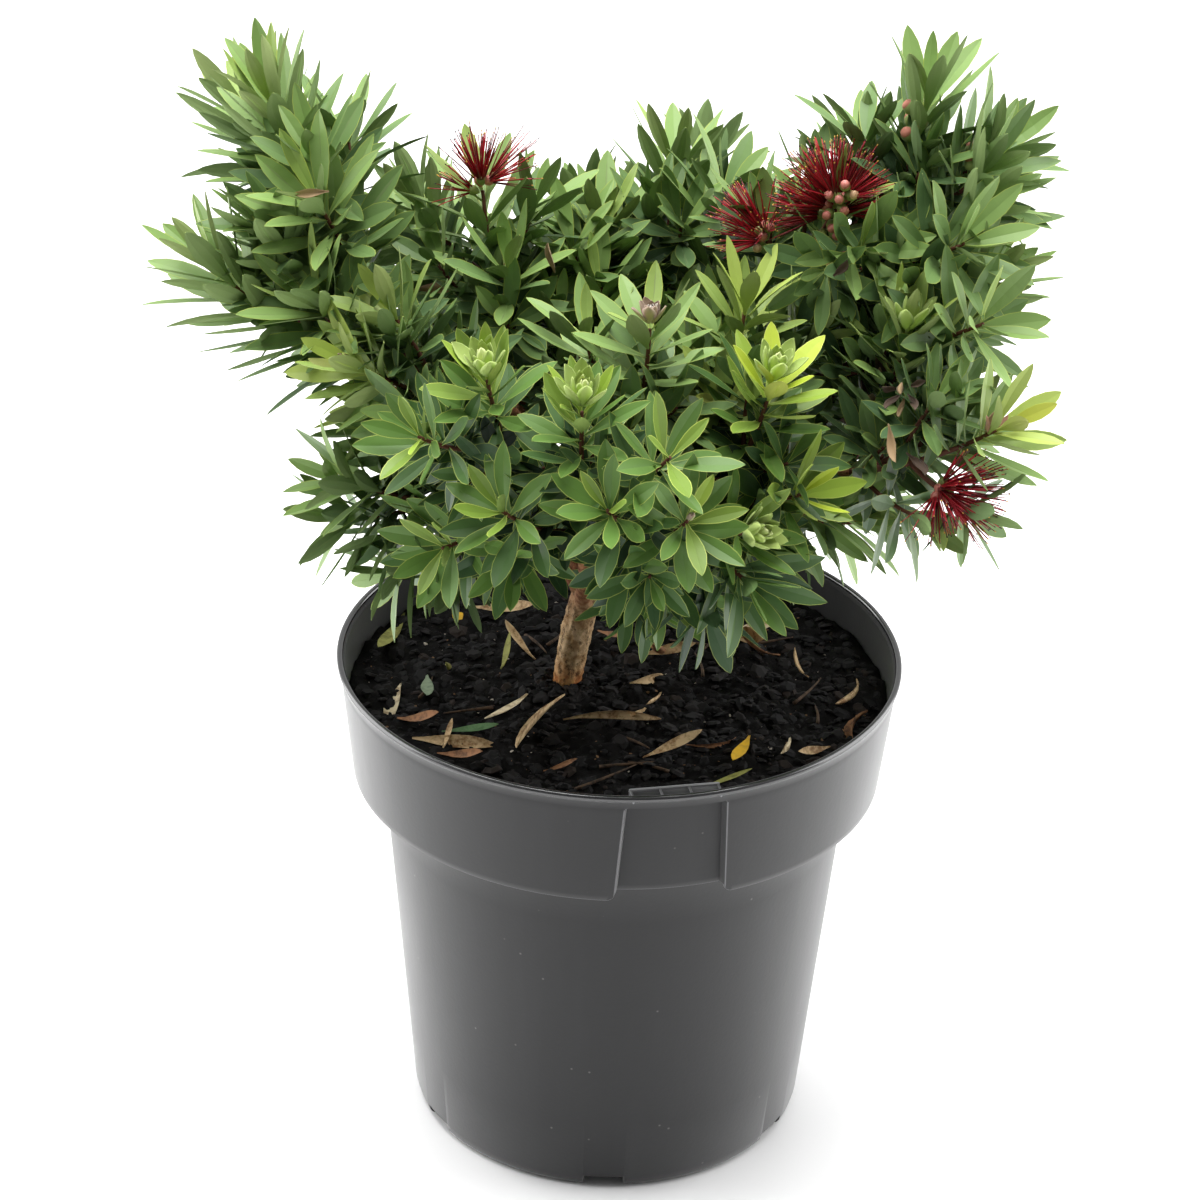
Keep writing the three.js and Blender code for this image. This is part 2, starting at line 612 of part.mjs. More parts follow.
function blossomSolids(axis, share, random) {
  const centre = axis.curve.getPoint(share);
  const core = new THREE.IcosahedronGeometry(BLOSSOM_CORE_RADIUS);
  core.translate(centre.x, centre.y, centre.z);
  const solids = [solidOf(core)];
  for (let i = 0; i < STAMEN_COUNT; i++) {
    const height = 1 - STAMEN_SPREAD * (i + 0.5) / STAMEN_COUNT;
    const flat = Math.sqrt(1 - height * height);
    const turn = radians(i * GOLDEN_ANGLE);
    const out = new THREE.Vector3(flat * Math.cos(turn), flat * Math.sin(turn), height);
    const length = STAMEN_LENGTH * lerp(...STAMEN_LENGTHS, random());
    const stamen = new THREE.ConeGeometry(STAMEN_RADIUS, length, STAMEN_SIDES);
    stamen.translate(0, length / 2 + STAMEN_FOOT, 0);
    stamen.applyQuaternion(new THREE.Quaternion().setFromUnitVectors(new THREE.Vector3(0, 1, 0), out));
    solids.push(solidOf(stamen.translate(centre.x, centre.y, centre.z)));
  }
  return solids;
}

function budSolids(axes, count) {
  const solids = [];
  for (let i = 0; i < count; i++) {
    const axis = axes[i % axes.length];
    const share = BUD_SHARES[i % BUD_SHARES.length];
    const frame = leafFrame(axis, share, radians(i * GOLDEN_ANGLE), radians(BUD_ANGLE));
    const centre = new THREE.Vector3(BUD_RADIUS, 0, 0).applyMatrix4(frame);
    const bud = new THREE.IcosahedronGeometry(BUD_RADIUS);
    solids.push(solidOf(bud.translate(centre.x, centre.y, centre.z)));
  }
  return solids;
}

// A shoot's stem, thickened between its ends by the packed feet of its leaves.
function stemLimb(name, curve, first) {
  const radiusAt = (share) => {
    return lerp(STEM_RADIUS, STEM_TIP_RADIUS, share) + CORE_RADIUS * Math.sin(Math.PI * share);
  };
  const stem = new Limb(name, curve, radiusAt, STEM_SIDES, STEM_STEPS);
  stem.first = first;
  return stem;
}

function foliageMass(mass, masses, occupied) {
  const random = randomSource(mass.seed);
  const solids = mass.axes.map((axis) => axis.tube());
  for (const [name, shootIndex, share] of BLOSSOMS) {
    if (name === mass.name) solids.push(...blossomSolids(mass.axes[shootIndex], share, random));
  }
  if (BUDS[mass.name]) solids.push(...budSolids(mass.axes, BUDS[mass.name]));
  for (const axis of mass.axes) {
    solids.push(...leavesOf(axis, mass, masses, occupied, random));
  }
  return mainBody(wasm.Manifold.union(solids).simplify(FINEST_DETAIL));
}

// ---------------------------------------------------------------- assembly

function growPlant() {
  const limbs = [trunkLimb()];
  const masses = [];
  SHOOTS.forEach((spec, index) => {
    const seed = SEED + 101 * index;
    const random = randomSource(seed);
    const leader = leaderCurve(spec);
    const parent = limbs.find((limb) => limb.name === spec.parent);
    limbs.push(boughLimb(spec, parent, leader));
    const axes = [stemLimb(spec.name, leader, LEADER_FIRST_LEAF)];
    spec.rolls.forEach((roll, side) => {
      axes.push(stemLimb(spec.name, sideCurve(leader, spec, side, random), SIDE_FIRST_LEAF));
    });
    masses.push({ name: spec.name, axes, leaf: spec.leaf, seed });
  });
  return { limbs, masses };
}

// Each limb is cut clear of the limbs made before it.
function limbSolids(limbs) {
  return limbs.map((limb, index) => {
    let solid = limb.tube();
    for (const other of limbs.slice(0, index)) {
      solid = solid.subtract(other.tube(LIMB_CLEARANCE));
    }
    if (index === 0) solid = solid.subtract(groundBlock());
    return mainBody(solid);
  });
}

// Everything below the flat cut at the trunk's foot.
function groundBlock() {
  const block = new THREE.BoxGeometry(RIM_RADIUS, RIM_RADIUS, POT_HEIGHT);
  return solidOf(block.translate(0, 0, TRUNK_FOOT.z - POT_HEIGHT / 2));
}

const plant = new THREE.Group();
plant.name = 'bottlebrush_in_pot';

const { limbs, masses } = growPlant();
const occupied = new Occupied();
const potSolid = pot();
const mixSolid = pottingMix();
plant.add(namedMesh('pot', potSolid, MATERIALS.pot));
plant.add(namedMesh('potting_mix', mixSolid, MATERIALS.mix));
occupied.add(potSolid, 'pot');
occupied.add(mixSolid, 'potting_mix');

limbSolids(limbs).forEach((solid, index) => {
  const name = index === 0 ? 'trunk' : `bough_${limbs[index].name}`;
  plant.add(namedMesh(name, solid, MATERIALS.bark));
  occupied.add(solid, name);
});
masses.flatMap((mass) => mass.axes).forEach((axis) => occupied.add(axis.tube(), axis));

for (const mass of masses) {
  const solid = foliageMass(mass, masses, occupied);
  plant.add(namedMesh(`foliage_${mass.name}`, solid, MATERIALS.foliage));
}

export default plant;
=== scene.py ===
"""Looks of a dwarf bottlebrush shrub in a round nursery pot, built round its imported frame.

Sizes are in millimetres, as in the part's source, and become metres when a mesh is made.
"""

from math import asin, copysign, cos, degrees, exp, hypot, pi, radians, sin, sqrt

import bpy
import numpy as np
from mathutils import Matrix, Vector, noise


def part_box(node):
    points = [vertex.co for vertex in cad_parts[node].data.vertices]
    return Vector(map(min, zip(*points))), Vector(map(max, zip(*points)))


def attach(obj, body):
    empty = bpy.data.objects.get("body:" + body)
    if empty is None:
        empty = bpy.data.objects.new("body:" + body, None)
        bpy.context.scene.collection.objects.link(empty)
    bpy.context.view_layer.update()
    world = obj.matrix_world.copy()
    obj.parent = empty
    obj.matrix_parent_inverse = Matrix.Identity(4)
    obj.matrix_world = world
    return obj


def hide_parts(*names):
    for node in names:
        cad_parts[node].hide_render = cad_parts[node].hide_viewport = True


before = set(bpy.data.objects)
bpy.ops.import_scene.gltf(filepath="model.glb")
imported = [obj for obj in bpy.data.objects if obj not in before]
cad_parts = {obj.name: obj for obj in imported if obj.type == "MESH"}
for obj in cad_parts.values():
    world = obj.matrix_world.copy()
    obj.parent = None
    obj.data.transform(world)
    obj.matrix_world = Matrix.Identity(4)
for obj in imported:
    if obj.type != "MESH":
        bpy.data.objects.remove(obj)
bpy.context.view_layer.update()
NODES = sorted(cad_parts)

MM = 0.001
UP = np.array([0.0, 0.0, 1.0])
GOLDEN_ANGLE = 137.5
SEED = 1907

# Seeds of what grows in numbers: the first one's, and the step to the next one's.
SIDE_SEEDS = (SEED, 101)
TWIG_SEEDS = (SEED + 977, 31)
LEAF_SEEDS = (SEED + 4001, 17)
BLOSSOM_SEEDS = (SEED + 9001, 31)
HANGING_SEED = SEED + 9501
CRUMB_SEED = SEED + 7
LITTER_SEED = SEED + 70

# ---- sizes

CLEARANCE = 0.3

# Pot.
POT_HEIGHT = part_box("pot")[1].z / MM
RIM_RADIUS = 100
RIM_BEAD = 2.4
COLLAR_WALL = 1.6
COLLAR_TOP_RADIUS = 99.2
COLLAR_FOOT_RADIUS = 94.1
COLLAR_FOOT_HEIGHT = 137.3
LEDGE_HEIGHT = 141
LEDGE_THICKNESS = 1.8
BODY_TOP_RADIUS = 83.8
BODY_FOOT_RADIUS = 70.5
BODY_WALL = 1.8
FOOT_ROUND = 4
FLOOR_THICKNESS = 2.2
DRAIN_HOLES = 6
DRAIN_WIDTH = 15
DRAIN_HEIGHT = 5
DRAIN_REACH = 7
RECESS_TURN = 12
RECESS_TOP_WIDTH = 32
RECESS_FOOT_WIDTH = 37
RECESS_TOP_HEIGHT = 176.5
RECESS_DEPTH = 3
LABEL_RAIL = {"width": 31, "thickness": 1.0, "height": 3, "gap": 3.6, "ribs": 3, "below": 0.1,
              "shelf_drop": 1.3, "shelf_thickness": 0.8}

# Potting mix.
MIX_EDGE_HEIGHT = 167
MIX_TOP_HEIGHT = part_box("potting_mix")[1].z / MM
MIX_FLAT_RADIUS = 45

# Trunk and boughs.
TRUNK_FOOT = np.array([-19.0, -5.0, MIX_TOP_HEIGHT + CLEARANCE])
TRUNK_BELOW = 8
TRUNK_FORK = np.array([-12.0, -2.0, 207.0])
TRUNK_RADIUS = 5.2
TRUNK_FORK_RADIUS = 4.8
ROOT_FLARE = 1.7
FLARE_SHARE = 0.3
TRUNK_BOW = -1.2
BOW_SHARE = 0.4
MAIN_BOUGH_RADIUS = 3.3
SIDE_BOUGH_RADIUS = 2.0
BOUGH_TIP_RADIUS = 1.3
LEAVE_SHARE = 0.75

# Leafy shoots. Their ranks are 0 for a leader, 1 for a side shoot and 2 for a twig.
STEM_RADII = (1.3, 1.1, 0.9)
STEM_TIP_RADIUS = 0.6
STEM_CURL = 12
FIRST_LEAF = (0.1, 0.2, 0.25)  # share of the stem where leaves begin
LAST_LEAF = 0.995
LAST_BEFORE_BUD = 0.96
SIDE_SPREAD = 54
SIDE_SHARE = 0.62
SIDE_LENGTHS = (0.85, 1.15)
SIDE_FEET = (0.12, 0.6)
SIDE_STAGGER = 0.5
SIDE_ROLL_JITTER = 16
SIDE_STRAIGHTEN = 0.45
SIDE_LIFT = 0.12
SIDE_TONE = -0.03  # tone against the leader's
SIDE_LEAF = 0.95  # leaf length against the leader's

# Each shoot: name, parent, share of the parent, (azimuth, reach, height) of its tip,
# (rise, turn), leafy length, and the rolls of its side shoots. Then its tone, from 0 for
# old blue-green foliage to 1 for a lime young shoot, and the length of its leaves.
SHOOTS = [
    ("left_high", "trunk", 0.92, (164, 116, 374), (62, 10), 84, (200, 20), 0.42, 35),
    ("right_high", "trunk", 0.95, (18, 116, 381), (70, 0), 72, (200, 20, 60), 0.36, 33),
    ("front", "trunk", 0.84, (268, 88, 322), (66, 0), 72, (30, 160), 0.52, 25),
    ("top_back", "trunk", 0.97, (72, 88, 339), (66, 0), 76, (200, 320, 90), 0.38, 32),
    ("left_far", "left_high", 0.5, (179, 129, 326), (36, 0), 74, (225, 290), 0.40, 34),
    ("left_inner", "left_high", 0.45, (204, 88, 310), (26, 0), 60, (40, 300), 0.60, 29),
    ("left_low", "left_high", 0.28, (198, 89, 262), (16, 0), 64, (90, 300, 50), 0.36, 28),
    ("top_left", "left_high", 0.42, (134, 58, 343), (72, 0), 66, (240, 110), 0.42, 30),
    ("back_left", "left_high", 0.46, (122, 113, 306), (50, 0), 74, (30, 220), 0.38, 32),
    ("back_left_low", "left_high", 0.24, (132, 106, 264), (26, 0), 74, (0, 270), 0.34, 31),
    ("front_left", "front", 0.42, (243, 76, 322), (60, 0), 66, (0, 70), 0.54, 25),
    ("front_left_low", "front", 0.22, (237, 88, 261), (0, 0), 56, (0, 180), 0.40, 24),
    ("front_low", "front", 0.5, (287, 110, 291), (32, 0), 60, (180, 340), 0.48, 25),
    ("front_right_low", "front", 0.3, (303, 98, 256), (-12, 0), 56, (0,), 0.24, 29),
    ("trunk_cluster", "front", 0.1, (300, 58, 234), (-2, 0), 38, (180,), 0.38, 23),
    ("centre", "top_back", 0.34, (88, 56, 326), (78, 0), 62, (100, 250), 0.40, 30),
    ("middle", "top_back", 0.14, (294, 45, 330), (76, 0), 62, (300,), 0.42, 28),
    ("back", "top_back", 0.46, (85, 122, 288), (38, 0), 74, (0, 180, 60), 0.38, 33),
    ("lime_middle", "right_high", 0.2, (345, 52, 324), (74, 0), 60, (0, 120), 0.64, 29),
    ("right_blossom", "right_high", 0.5, (8, 85, 361), (58, -50), 60, (315, 60), 0.42, 29),
    ("right_far", "right_high", 0.75, (4, 130, 356), (36, -8), 64, (60, 0), 0.38, 32),
    ("right_side", "right_high", 0.55, (357, 133, 336), (36, 0), 72, (250, 350), 0.38, 30),
    ("right_inner", "right_high", 0.46, (343, 108, 326), (72, 0), 58, (180,), 0.58, 29),
    ("right_lime", "right_high", 0.34, (333, 151, 310), (30, 0), 62, (190, 55), 0.78, 28),
    ("front_right_lime", "right_high", 0.12, (315, 83, 319), (66, 0), 60, (90,), 0.70, 26),
    ("right_low", "right_high", 0.22, (330, 96, 268), (18, 0), 54, (0, 150), 0.38, 27),
    ("back_right", "right_high", 0.36, (54, 118, 302), (44, 0), 74, (10, 180), 0.38, 33),
    ("back_right_low", "right_high", 0.26, (32, 130, 266), (22, 0), 74, (0, 180), 0.34, 31),
]

# Finer twigs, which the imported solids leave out.
TWIG_SHARES = (0.42, 0.56)  # twig against its carrier, on compact and long shoots
TWIG_LENGTHS = (0.8, 1.15)
TWIG_FEET = (0.04, 0.46)
TWIG_SPREAD = 50
TWIGS_BY_RANK = (3, 1)  # on a leader and on a side shoot
TWIG_TONES = (-0.14, -0.06)  # tone against its carrier's, on compact and long shoots
TWIG_LEAF = 0.86  # leaf length against its carrier's

# Short twigs in the crown's hollow: bough, share of it, tip (azimuth, reach, height).
INNER_TWIGS = [
    ("top_back", 0.3, (60, 30, 300)), ("top_back", 0.5, (95, 42, 304)),
    ("top_back", 0.7, (60, 62, 308)), ("right_high", 0.3, (20, 36, 302)),
    ("right_high", 0.45, (35, 58, 310)), ("left_high", 0.3, (140, 30, 300)),
    ("left_high", 0.45, (150, 54, 306)), ("centre", 0.5, (110, 30, 310)),
    ("front", 0.4, (290, 16, 298)), ("middle", 0.4, (330, 30, 300)),
]
INNER_SAG = 3
INNER_TONE = 0.36
INNER_LEAF = 27
INNER_FIRST_LEAF = 0.3

# Leaves. A pair of values is for the most compact and for the longest shoots, if no
# comment says otherwise.
LEAF_SIZES = (24, 38)  # lengths
LEAF_PITCHES = (2.0, 1.6)  # stem length for each leaf
LEAVES_AT_TIP = 8  # more than the pitch asks for
LEAF_WIDTHS = (0.19, 0.25)  # least and greatest width against length
LEAF_SLIMNESS = (1.22, 0.88)
LEAF_WIDEST = 0.62  # share of its length where a leaf is widest
LEAVES_PER_PIECE = 1700
LEAF_THICKNESS = 0.5
LEAF_MARGIN = 0.22
LEAF_BASE_ANGLES = (86, 58)  # degrees from the stem
LEAF_TIP_ANGLES = (26, 18)
LEAF_TIP_OPENING = 26  # by how much the tips of some shoots stay open
LEAF_CROWDING = (0.7, 0.85)  # powers by which leaves stand closer towards the tip
LEAF_CLOSING = (1.6, 2.0)  # powers by which they close up there
LEAN_JITTER = 14  # degrees, as are the next two
TURN_JITTER = 18
ROLL_JITTER = 26
LEAF_LENGTHS = (0.9, 1.1)  # least and greatest length against the shoot's own
LEAF_BENDS = (-0.35, 0.45)  # least and greatest bend along a leaf, in radians
FIRST_BEND = 0.4  # bend of a shoot's first leaf against its last one's
LEAF_CUPS = (0.05, 0.22)  # least and greatest slope of its sides
LEAF_TWIST = 0.5  # span of twists from foot to tip, in radians
LEAF_OFFSET = 0.4  # its foot's distance from the stem's middle
YOUNG_FROM, YOUNG_SPAN = 0.8, 0.2  # the last leaves of a shoot are shorter
YOUNG_SHORTER = 0.25
OLD_UP_TO = 0.6  # and so are the first ones, up to this share of the stem
OLD_LEAF_LENGTHS = (0.45, 0.74)
OLD_LEAF_WIDTHS = (1.7, 1.15)  # those are wider for their length
OLD_AND_SHADED_TONES = (0.3, 0.08)  # and deeper in tone: partly the real deeper green of old leaves, partly painted shade inside the crown
RIPENING = 1.6
MATURE_TONE = 0.4  # tone that all but the youngest leaves stay under
TONE_JITTER = 0.12
TIP_TONE = 0.12  # how much younger than its shoot the last leaf looks
FLUSH_TONES = (0.55, 0.75)  # shoots between these tones look young along more of their length
FLUSHES = (2, 5)  # powers by which the young tone grows, there and elsewhere
LEAF_STATIONS = np.array([0.0, 0.14, 0.32, 0.5, 0.66, 0.82, 0.94, 1.0])
GROUND_GUARD = 2.5  # least height of a leaf above the potting mix
RIM_GUARD = 8  # and its least distance from the pot's wall
GUARDED_SHARE = 0.6  # share of its length where that is tested, besides its tip


# ---- helpers


def lerp(a, b, share):
    return a + (b - a) * share


def unit(vector):
    return vector / np.linalg.norm(vector)


def turned(vector, axis, turn):
    """The vector turned around a unit axis."""
    angle = radians(turn)
    across = np.cross(axis, vector)
    along = axis * np.dot(axis, vector)
    return along + (vector - along) * cos(angle) + across * sin(angle)


def direction(azimuth, rise):
    turn, tilt = radians(azimuth), radians(rise)
    flat = cos(tilt)
    return np.array([cos(turn) * flat, sin(turn) * flat, sin(tilt)])


def random_source(start):
    """The same seeded numbers as the part's source uses."""
    state = start

    def draw():
        nonlocal state
        state = state * 16807 % 2147483647
        return state / 2147483647

    return draw


def source_of(seeds, index):
    return random_source(seeds[0] + seeds[1] * index)


def jitter(random, span):
    """A number around 0, from a span of this width."""
    return span * (random() - 0.5)


def polar(radius, azimuth):
    turn = radians(azimuth)
    return radius * cos(turn), radius * sin(turn)


def relief(point, scale, octaves=3):
    """Smooth noise around 0 at a point, with bumps of about `scale`."""
    return noise.fractal(Vector(point) / scale, 0.9, 2.1, octaves)


class Bezier:
    """A quadratic or cubic Bezier curve."""

    def __init__(self, *controls):
        self.controls = [np.asarray(c, float) for c in controls]

    def point(self, share):
        points = self.controls
        while len(points) > 1:
            points = [lerp(a, b, share) for a, b in zip(points, points[1:])]
        return points[0]

    def tangent(self, share):
        steps = [b - a for a, b in zip(self.controls, self.controls[1:])]
        return unit(Bezier(*steps).point(share))

    def length(self, steps=24):
        points = [self.point(i / steps) for i in range(steps + 1)]
        return sum(np.linalg.norm(b - a) for a, b in zip(points, points[1:]))


class Batch:
    """Gathers closed shapes, and makes one mesh of them. It may know its finishes' names."""

    def __init__(self, finishes=()):
        self.finishes = list(finishes)
        self.points = []
        self.faces = []
        self.count = 0

    def slot(self, finish):
        return self.finishes.index(finish)

    def add(self, points, faces, slot=0):
        """One shape, all in one slot, or with a list of slots for its faces."""
        slots = slot if isinstance(slot, list) else [slot] * len(faces)
        self.add_many(np.asarray(points, float).reshape(1, -1, 3), faces, slots)

    def add_many(self, points, faces, slots):
        """points: shape x corner x 3. faces: one shape's faces, with a slot for each."""
        shapes, corners = points.shape[:2]
        starts = self.count + corners * np.arange(shapes)
        for face, slot in zip(faces, slots):
            self.faces.append((np.asarray(face)[None, :] + starts[:, None], slot))
        self.points.append(points.reshape(-1, 3))
        self.count += shapes * corners

    def mesh(self, name, smooth=True):
        loops, totals, slots = [], [], []
        for rows, slot in self.faces:
            loops.append(rows.ravel())
            totals.append(np.full(len(rows), rows.shape[1]))
            slots.append(np.full(len(rows), slot))
        loops, totals, slots = (np.concatenate(part) for part in (loops, totals, slots))
        starts = np.cumsum(totals) - totals
        points = np.concatenate(self.points) * MM
        mesh = bpy.data.meshes.new(name)
        mesh.vertices.add(len(points))
        mesh.loops.add(len(loops))
        mesh.polygons.add(len(totals))
        mesh.vertices.foreach_set("co", points.astype(np.float32).ravel())
        mesh.loops.foreach_set("vertex_index", loops.astype(np.int32))
        columns = {"loop_start": starts, "loop_total": totals, "material_index": slots}
        for key, values in columns.items():
            mesh.polygons.foreach_set(key, values.astype(np.int32))
        mesh.polygons.foreach_set("use_smooth", np.full(len(totals), smooth))
        mesh.update(calc_edges=True)
        mesh.validate()
        return mesh


def link_to_scene(name, data):
    made = bpy.data.objects.new(name, data)
    bpy.context.scene.collection.objects.link(made)
    return made


def piece(name, batch, materials, replaced=(), smooth=True):
    """A finished object of the plant, riding on the frame's only body."""
    mesh = batch.mesh(name, smooth)
    for material in materials:
        mesh.materials.append(material)
    made = link_to_scene(name, mesh)
    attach(made, "root")
    if replaced:
        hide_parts(*replaced)
    return made


# ---- materials


def linear(hex_colour):
    """A hex colour as the shader's linear values."""
    parts = [int(hex_colour[i : i + 2], 16) / 255 for i in (0, 2, 4)]
    curve = [c / 12.92 if c <= 0.04045 else ((c + 0.055) / 1.055) ** 2.4 for c in parts]
    return (*curve, 1.0)


def set_inputs(node, inputs):
    for name, value in inputs.items():
        node.inputs[name].default_value = value


def new_finish(name, roughness, specular, sheen):
    material = bpy.data.materials.new(name)
    material.use_nodes = True
    shader = material.node_tree.nodes["Principled BSDF"]
    set_inputs(shader, {"Roughness": roughness, "Specular IOR Level": specular,
                        "Sheen Weight": sheen})
    return material, shader


def plain(name, colour, roughness, sheen=0.0, specular=0.5):
    """A finish without a pattern, for small joined pieces."""
    material, shader = new_finish(name, roughness, specular, sheen)
    set_inputs(shader, {"Base Color": linear(colour)})
    return material


def add_node(tree, kind, **values):
    """A node with some of its settings or inputs set."""
    made = tree.nodes.new(kind)
    for key, value in values.items():
        if hasattr(made, key):
            setattr(made, key, value)
        else:
            made.inputs[key].default_value = value
    return made


class Pattern:
    """A patterned finish in object coordinates, built node by node."""

    def __init__(self, name, roughness, specular, sheen=0.0):
        self.material, self.shader = new_finish(name, roughness, specular, sheen)
        self.tree = self.material.node_tree
        self.place = self.node("ShaderNodeTexCoord").outputs["Object"]

    def node(self, kind, **values):
        return add_node(self.tree, kind, **values)

    def link(self, output, target):
        self.tree.links.new(output, target)

    def stretched(self, *scale):
        """Coordinates scaled along x, y and z."""
        mapping = self.node("ShaderNodeMapping", Scale=scale)
        self.link(self.place, mapping.inputs["Vector"])
        return mapping.outputs["Vector"]

    def noise(self, size_mm, detail, rough, place=None):
        made = self.node("ShaderNodeTexNoise", Scale=1 / (size_mm * MM), Detail=detail,
                         Roughness=rough)
        self.link(place or self.place, made.inputs["Vector"])
        return made.outputs["Fac"]

    def cells(self, size_mm):
        made = self.node("ShaderNodeTexVoronoi", Scale=1 / (size_mm * MM))
        self.link(self.place, made.inputs["Vector"])
        return made.outputs["Distance"]

    def height(self, low_mm, high_mm):
        """0 at one height and 1 at the other."""
        parts = self.node("ShaderNodeSeparateXYZ")
        self.link(self.place, parts.inputs["Vector"])
        return self.between(parts.outputs["Z"], low_mm * MM, high_mm * MM)

    def between(self, value, low, high, to_low=0.0, to_high=1.0):
        made = self.node("ShaderNodeMapRange", clamp=True)
        set_inputs(made, {"From Min": low, "From Max": high, "To Min": to_low, "To Max": to_high})
        self.link(value, made.inputs["Value"])
        return made.outputs["Result"]

    def product(self, a, b):
        made = self.node("ShaderNodeMath", operation="MULTIPLY")
        for socket, value in zip(made.inputs, (a, b)):
            if isinstance(value, float):
                socket.default_value = value
            else:
                self.link(value, socket)
        return made.outputs[0]

    def mixed(self, factor, first, second):
        """Two colours, given as hex text or as outputs, mixed by a factor."""
        made = self.node("ShaderNodeMix", data_type="RGBA")
        self.link(factor, made.inputs["Factor"])
        for key, value in (("A", first), ("B", second)):
            socket = next(s for s in made.inputs if s.name == key and s.type == "RGBA")
            if isinstance(value, str):
                socket.default_value = linear(value)
            else:
                self.link(value, socket)
        return next(s for s in made.outputs if s.type == "RGBA")

    def stained(self, colour, value, low, high, strength, stain):
        """The colour, stained more and more where a value goes from low to high."""
        return self.mixed(self.product(self.between(value, low, high), strength), colour, stain)

    def finish(self, colour, height=None, depth_mm=0.0, strength=1.0):
        """The material, with its colour and its bump from these outputs."""
        self.link(colour, self.shader.inputs["Base Color"])
        if height is not None:
            made = self.node("ShaderNodeBump", Distance=depth_mm * MM, Strength=strength)
            self.link(height, made.inputs["Height"])
            self.link(made.outputs["Normal"], self.shader.inputs["Normal"])
        return self.material


def pot_plastic():
    """Dark grey moulded plastic: dust in faint streaks, fine grain and a few scuffs."""
    made = Pattern("pot_plastic", 0.4, 0.24, POT_DUST)
    set_inputs(made.shader, {"Sheen Roughness": 0.45})
    dust = made.noise(38, 5.0, 0.6, made.stretched(1, 1, 0.35))
    grey = made.mixed(made.between(dust, 0.35, 0.75), "1d1d1e", "232324")
    streaks = made.noise(9, 3.0, 0.55, made.stretched(1, 1, 0.06))
    grey = made.stained(grey, streaks, 0.5, 0.8, 0.3, "29292b")
    grey = made.stained(grey, made.cells(11), 0.05, 0.02, 0.5, "7c7a76")
    grain = made.noise(1.6, 3.0, 0.7)
    made.link(made.between(dust, 0.3, 0.8, 0.36, 0.52), made.shader.inputs["Roughness"])
    return made.finish(grey, grain, 0.06, 0.5)


def bark_finish():
    """Orange-tan flaky bark at the ground, grey-tan with dark cracks above, and darker brown near
    the fork as painted shade under the crown.
    """
    made = Pattern("bark", 0.85, 0.25)
    ground, fork = TRUNK_FOOT[2], TRUNK_FORK[2]
    patches = made.noise(4.5, 6.0, 0.7)
    foot = made.mixed(made.between(patches, 0.42, 0.6), "b06a38", "e0aa6c")
    middle = made.mixed(made.between(patches, 0.4, 0.6), "ab875c", "e3c499")
    # Darker brown near the fork: painted shade, where the crown shades the trunk.
    upper = made.mixed(made.between(patches, 0.4, 0.65), "7a4a30", "ab8058")
    colour = made.mixed(made.height(ground + 3, ground + 12), foot, middle)
    colour = made.mixed(made.height(fork - 14, fork + 4), colour, upper)
    cracks = made.noise(2.4, 6.0, 0.75, made.stretched(1, 1, 0.7))
    specks = made.noise(0.9, 3.0, 0.6)
    colour = made.stained(colour, cracks, 0.52, 0.6, 0.75, "43301f")
    colour = made.stained(colour, specks, 0.62, 0.72, 0.7, "2e2118")
    return made.finish(colour, cracks, -0.9, 0.9)


def mix_finish():
    """Damp black potting mix with brown fibre."""
    made = Pattern("potting_mix", 0.8, 0.12)
    grains = made.noise(2.2, 6.0, 0.7)
    clods = made.noise(14, 3.0, 0.5)
    colour = made.mixed(made.between(grains, 0.42, 0.7), "080707", "11100e")
    colour = made.stained(colour, clods, 0.5, 0.7, 0.4, "15110e")
    fibres = made.noise(1.0, 4.0, 0.7, made.stretched(1, 0.3, 1))
    colour = made.stained(colour, fibres, 0.66, 0.74, 0.7, "5a4632")
    return made.finish(colour, grains, 0.8, 0.8)


# Leaf tints from old to young, upper side and underside: deep green on the compact
# shoots, paler and more olive on the long ones.
# The deepest steps also carry painted shade, for the first leaves deep inside the crown.
TINTS = {
    "green": [
        ("2b402b", "435b40"), ("35502e", "4e6745"), ("466433", "5e7647"), ("597a36", "6c8449"),
        ("728c38", "7b904d"), ("8ba53c", "90a151"), ("abbc3c", "a8b155"), ("bac841", "b4c05f"),
    ],
    "olive": [
        ("445d3c", "5c7250"), ("567146", "677d53"), ("69854d", "738858"), ("7c9855", "7e925e"),
        ("8fa659", "8a9963"), ("a1b35a", "96a466"), ("a9b057", "9da361"), ("b9bf52", "aab261"),
    ],
}
TINT_STEPS = 8
LONG_LEAF = 26.5  # leaves from this length on take the olive tints,
SHADED_TONE = 0.3  # but not on a shoot as deep in tone as this
MARGIN_TINTS = ["85924a", "9aa952", "b0be59", "c4cf62"]


def leaf_finishes(family):
    made = []
    for i, (upper, under) in enumerate(TINTS[family]):
        margin = MARGIN_TINTS[i * len(MARGIN_TINTS) // TINT_STEPS]
        made.append([
            plain(f"leaf_{family}_{i}", upper, 0.42, specular=0.3),
            plain(f"leaf_underside_{family}_{i}", under, 0.75, specular=0.04),
            plain(f"leaf_margin_{family}_{i}", margin, 0.5, specular=0.3),
        ])
    return made


# ---- growth


class Limb:
    """The trunk or a bough: its name, its curve and its radius along it."""

    def __init__(self, name, curve, radius_at):
        self.name, self.curve, self.radius_at = name, curve, radius_at


def trunk_limb():
    start = TRUNK_FOOT - TRUNK_BELOW * UP
    bend = lerp(TRUNK_FOOT, TRUNK_FORK, BOW_SHARE) + np.array([TRUNK_BOW, 0, 0])

    def radius_at(share):
        flare = max(0.0, 1 - share / FLARE_SHARE)
        return lerp(TRUNK_RADIUS, TRUNK_FORK_RADIUS, share) + ROOT_FLARE * flare * flare

    return Limb("trunk", Bezier(start, bend, TRUNK_FORK), radius_at)


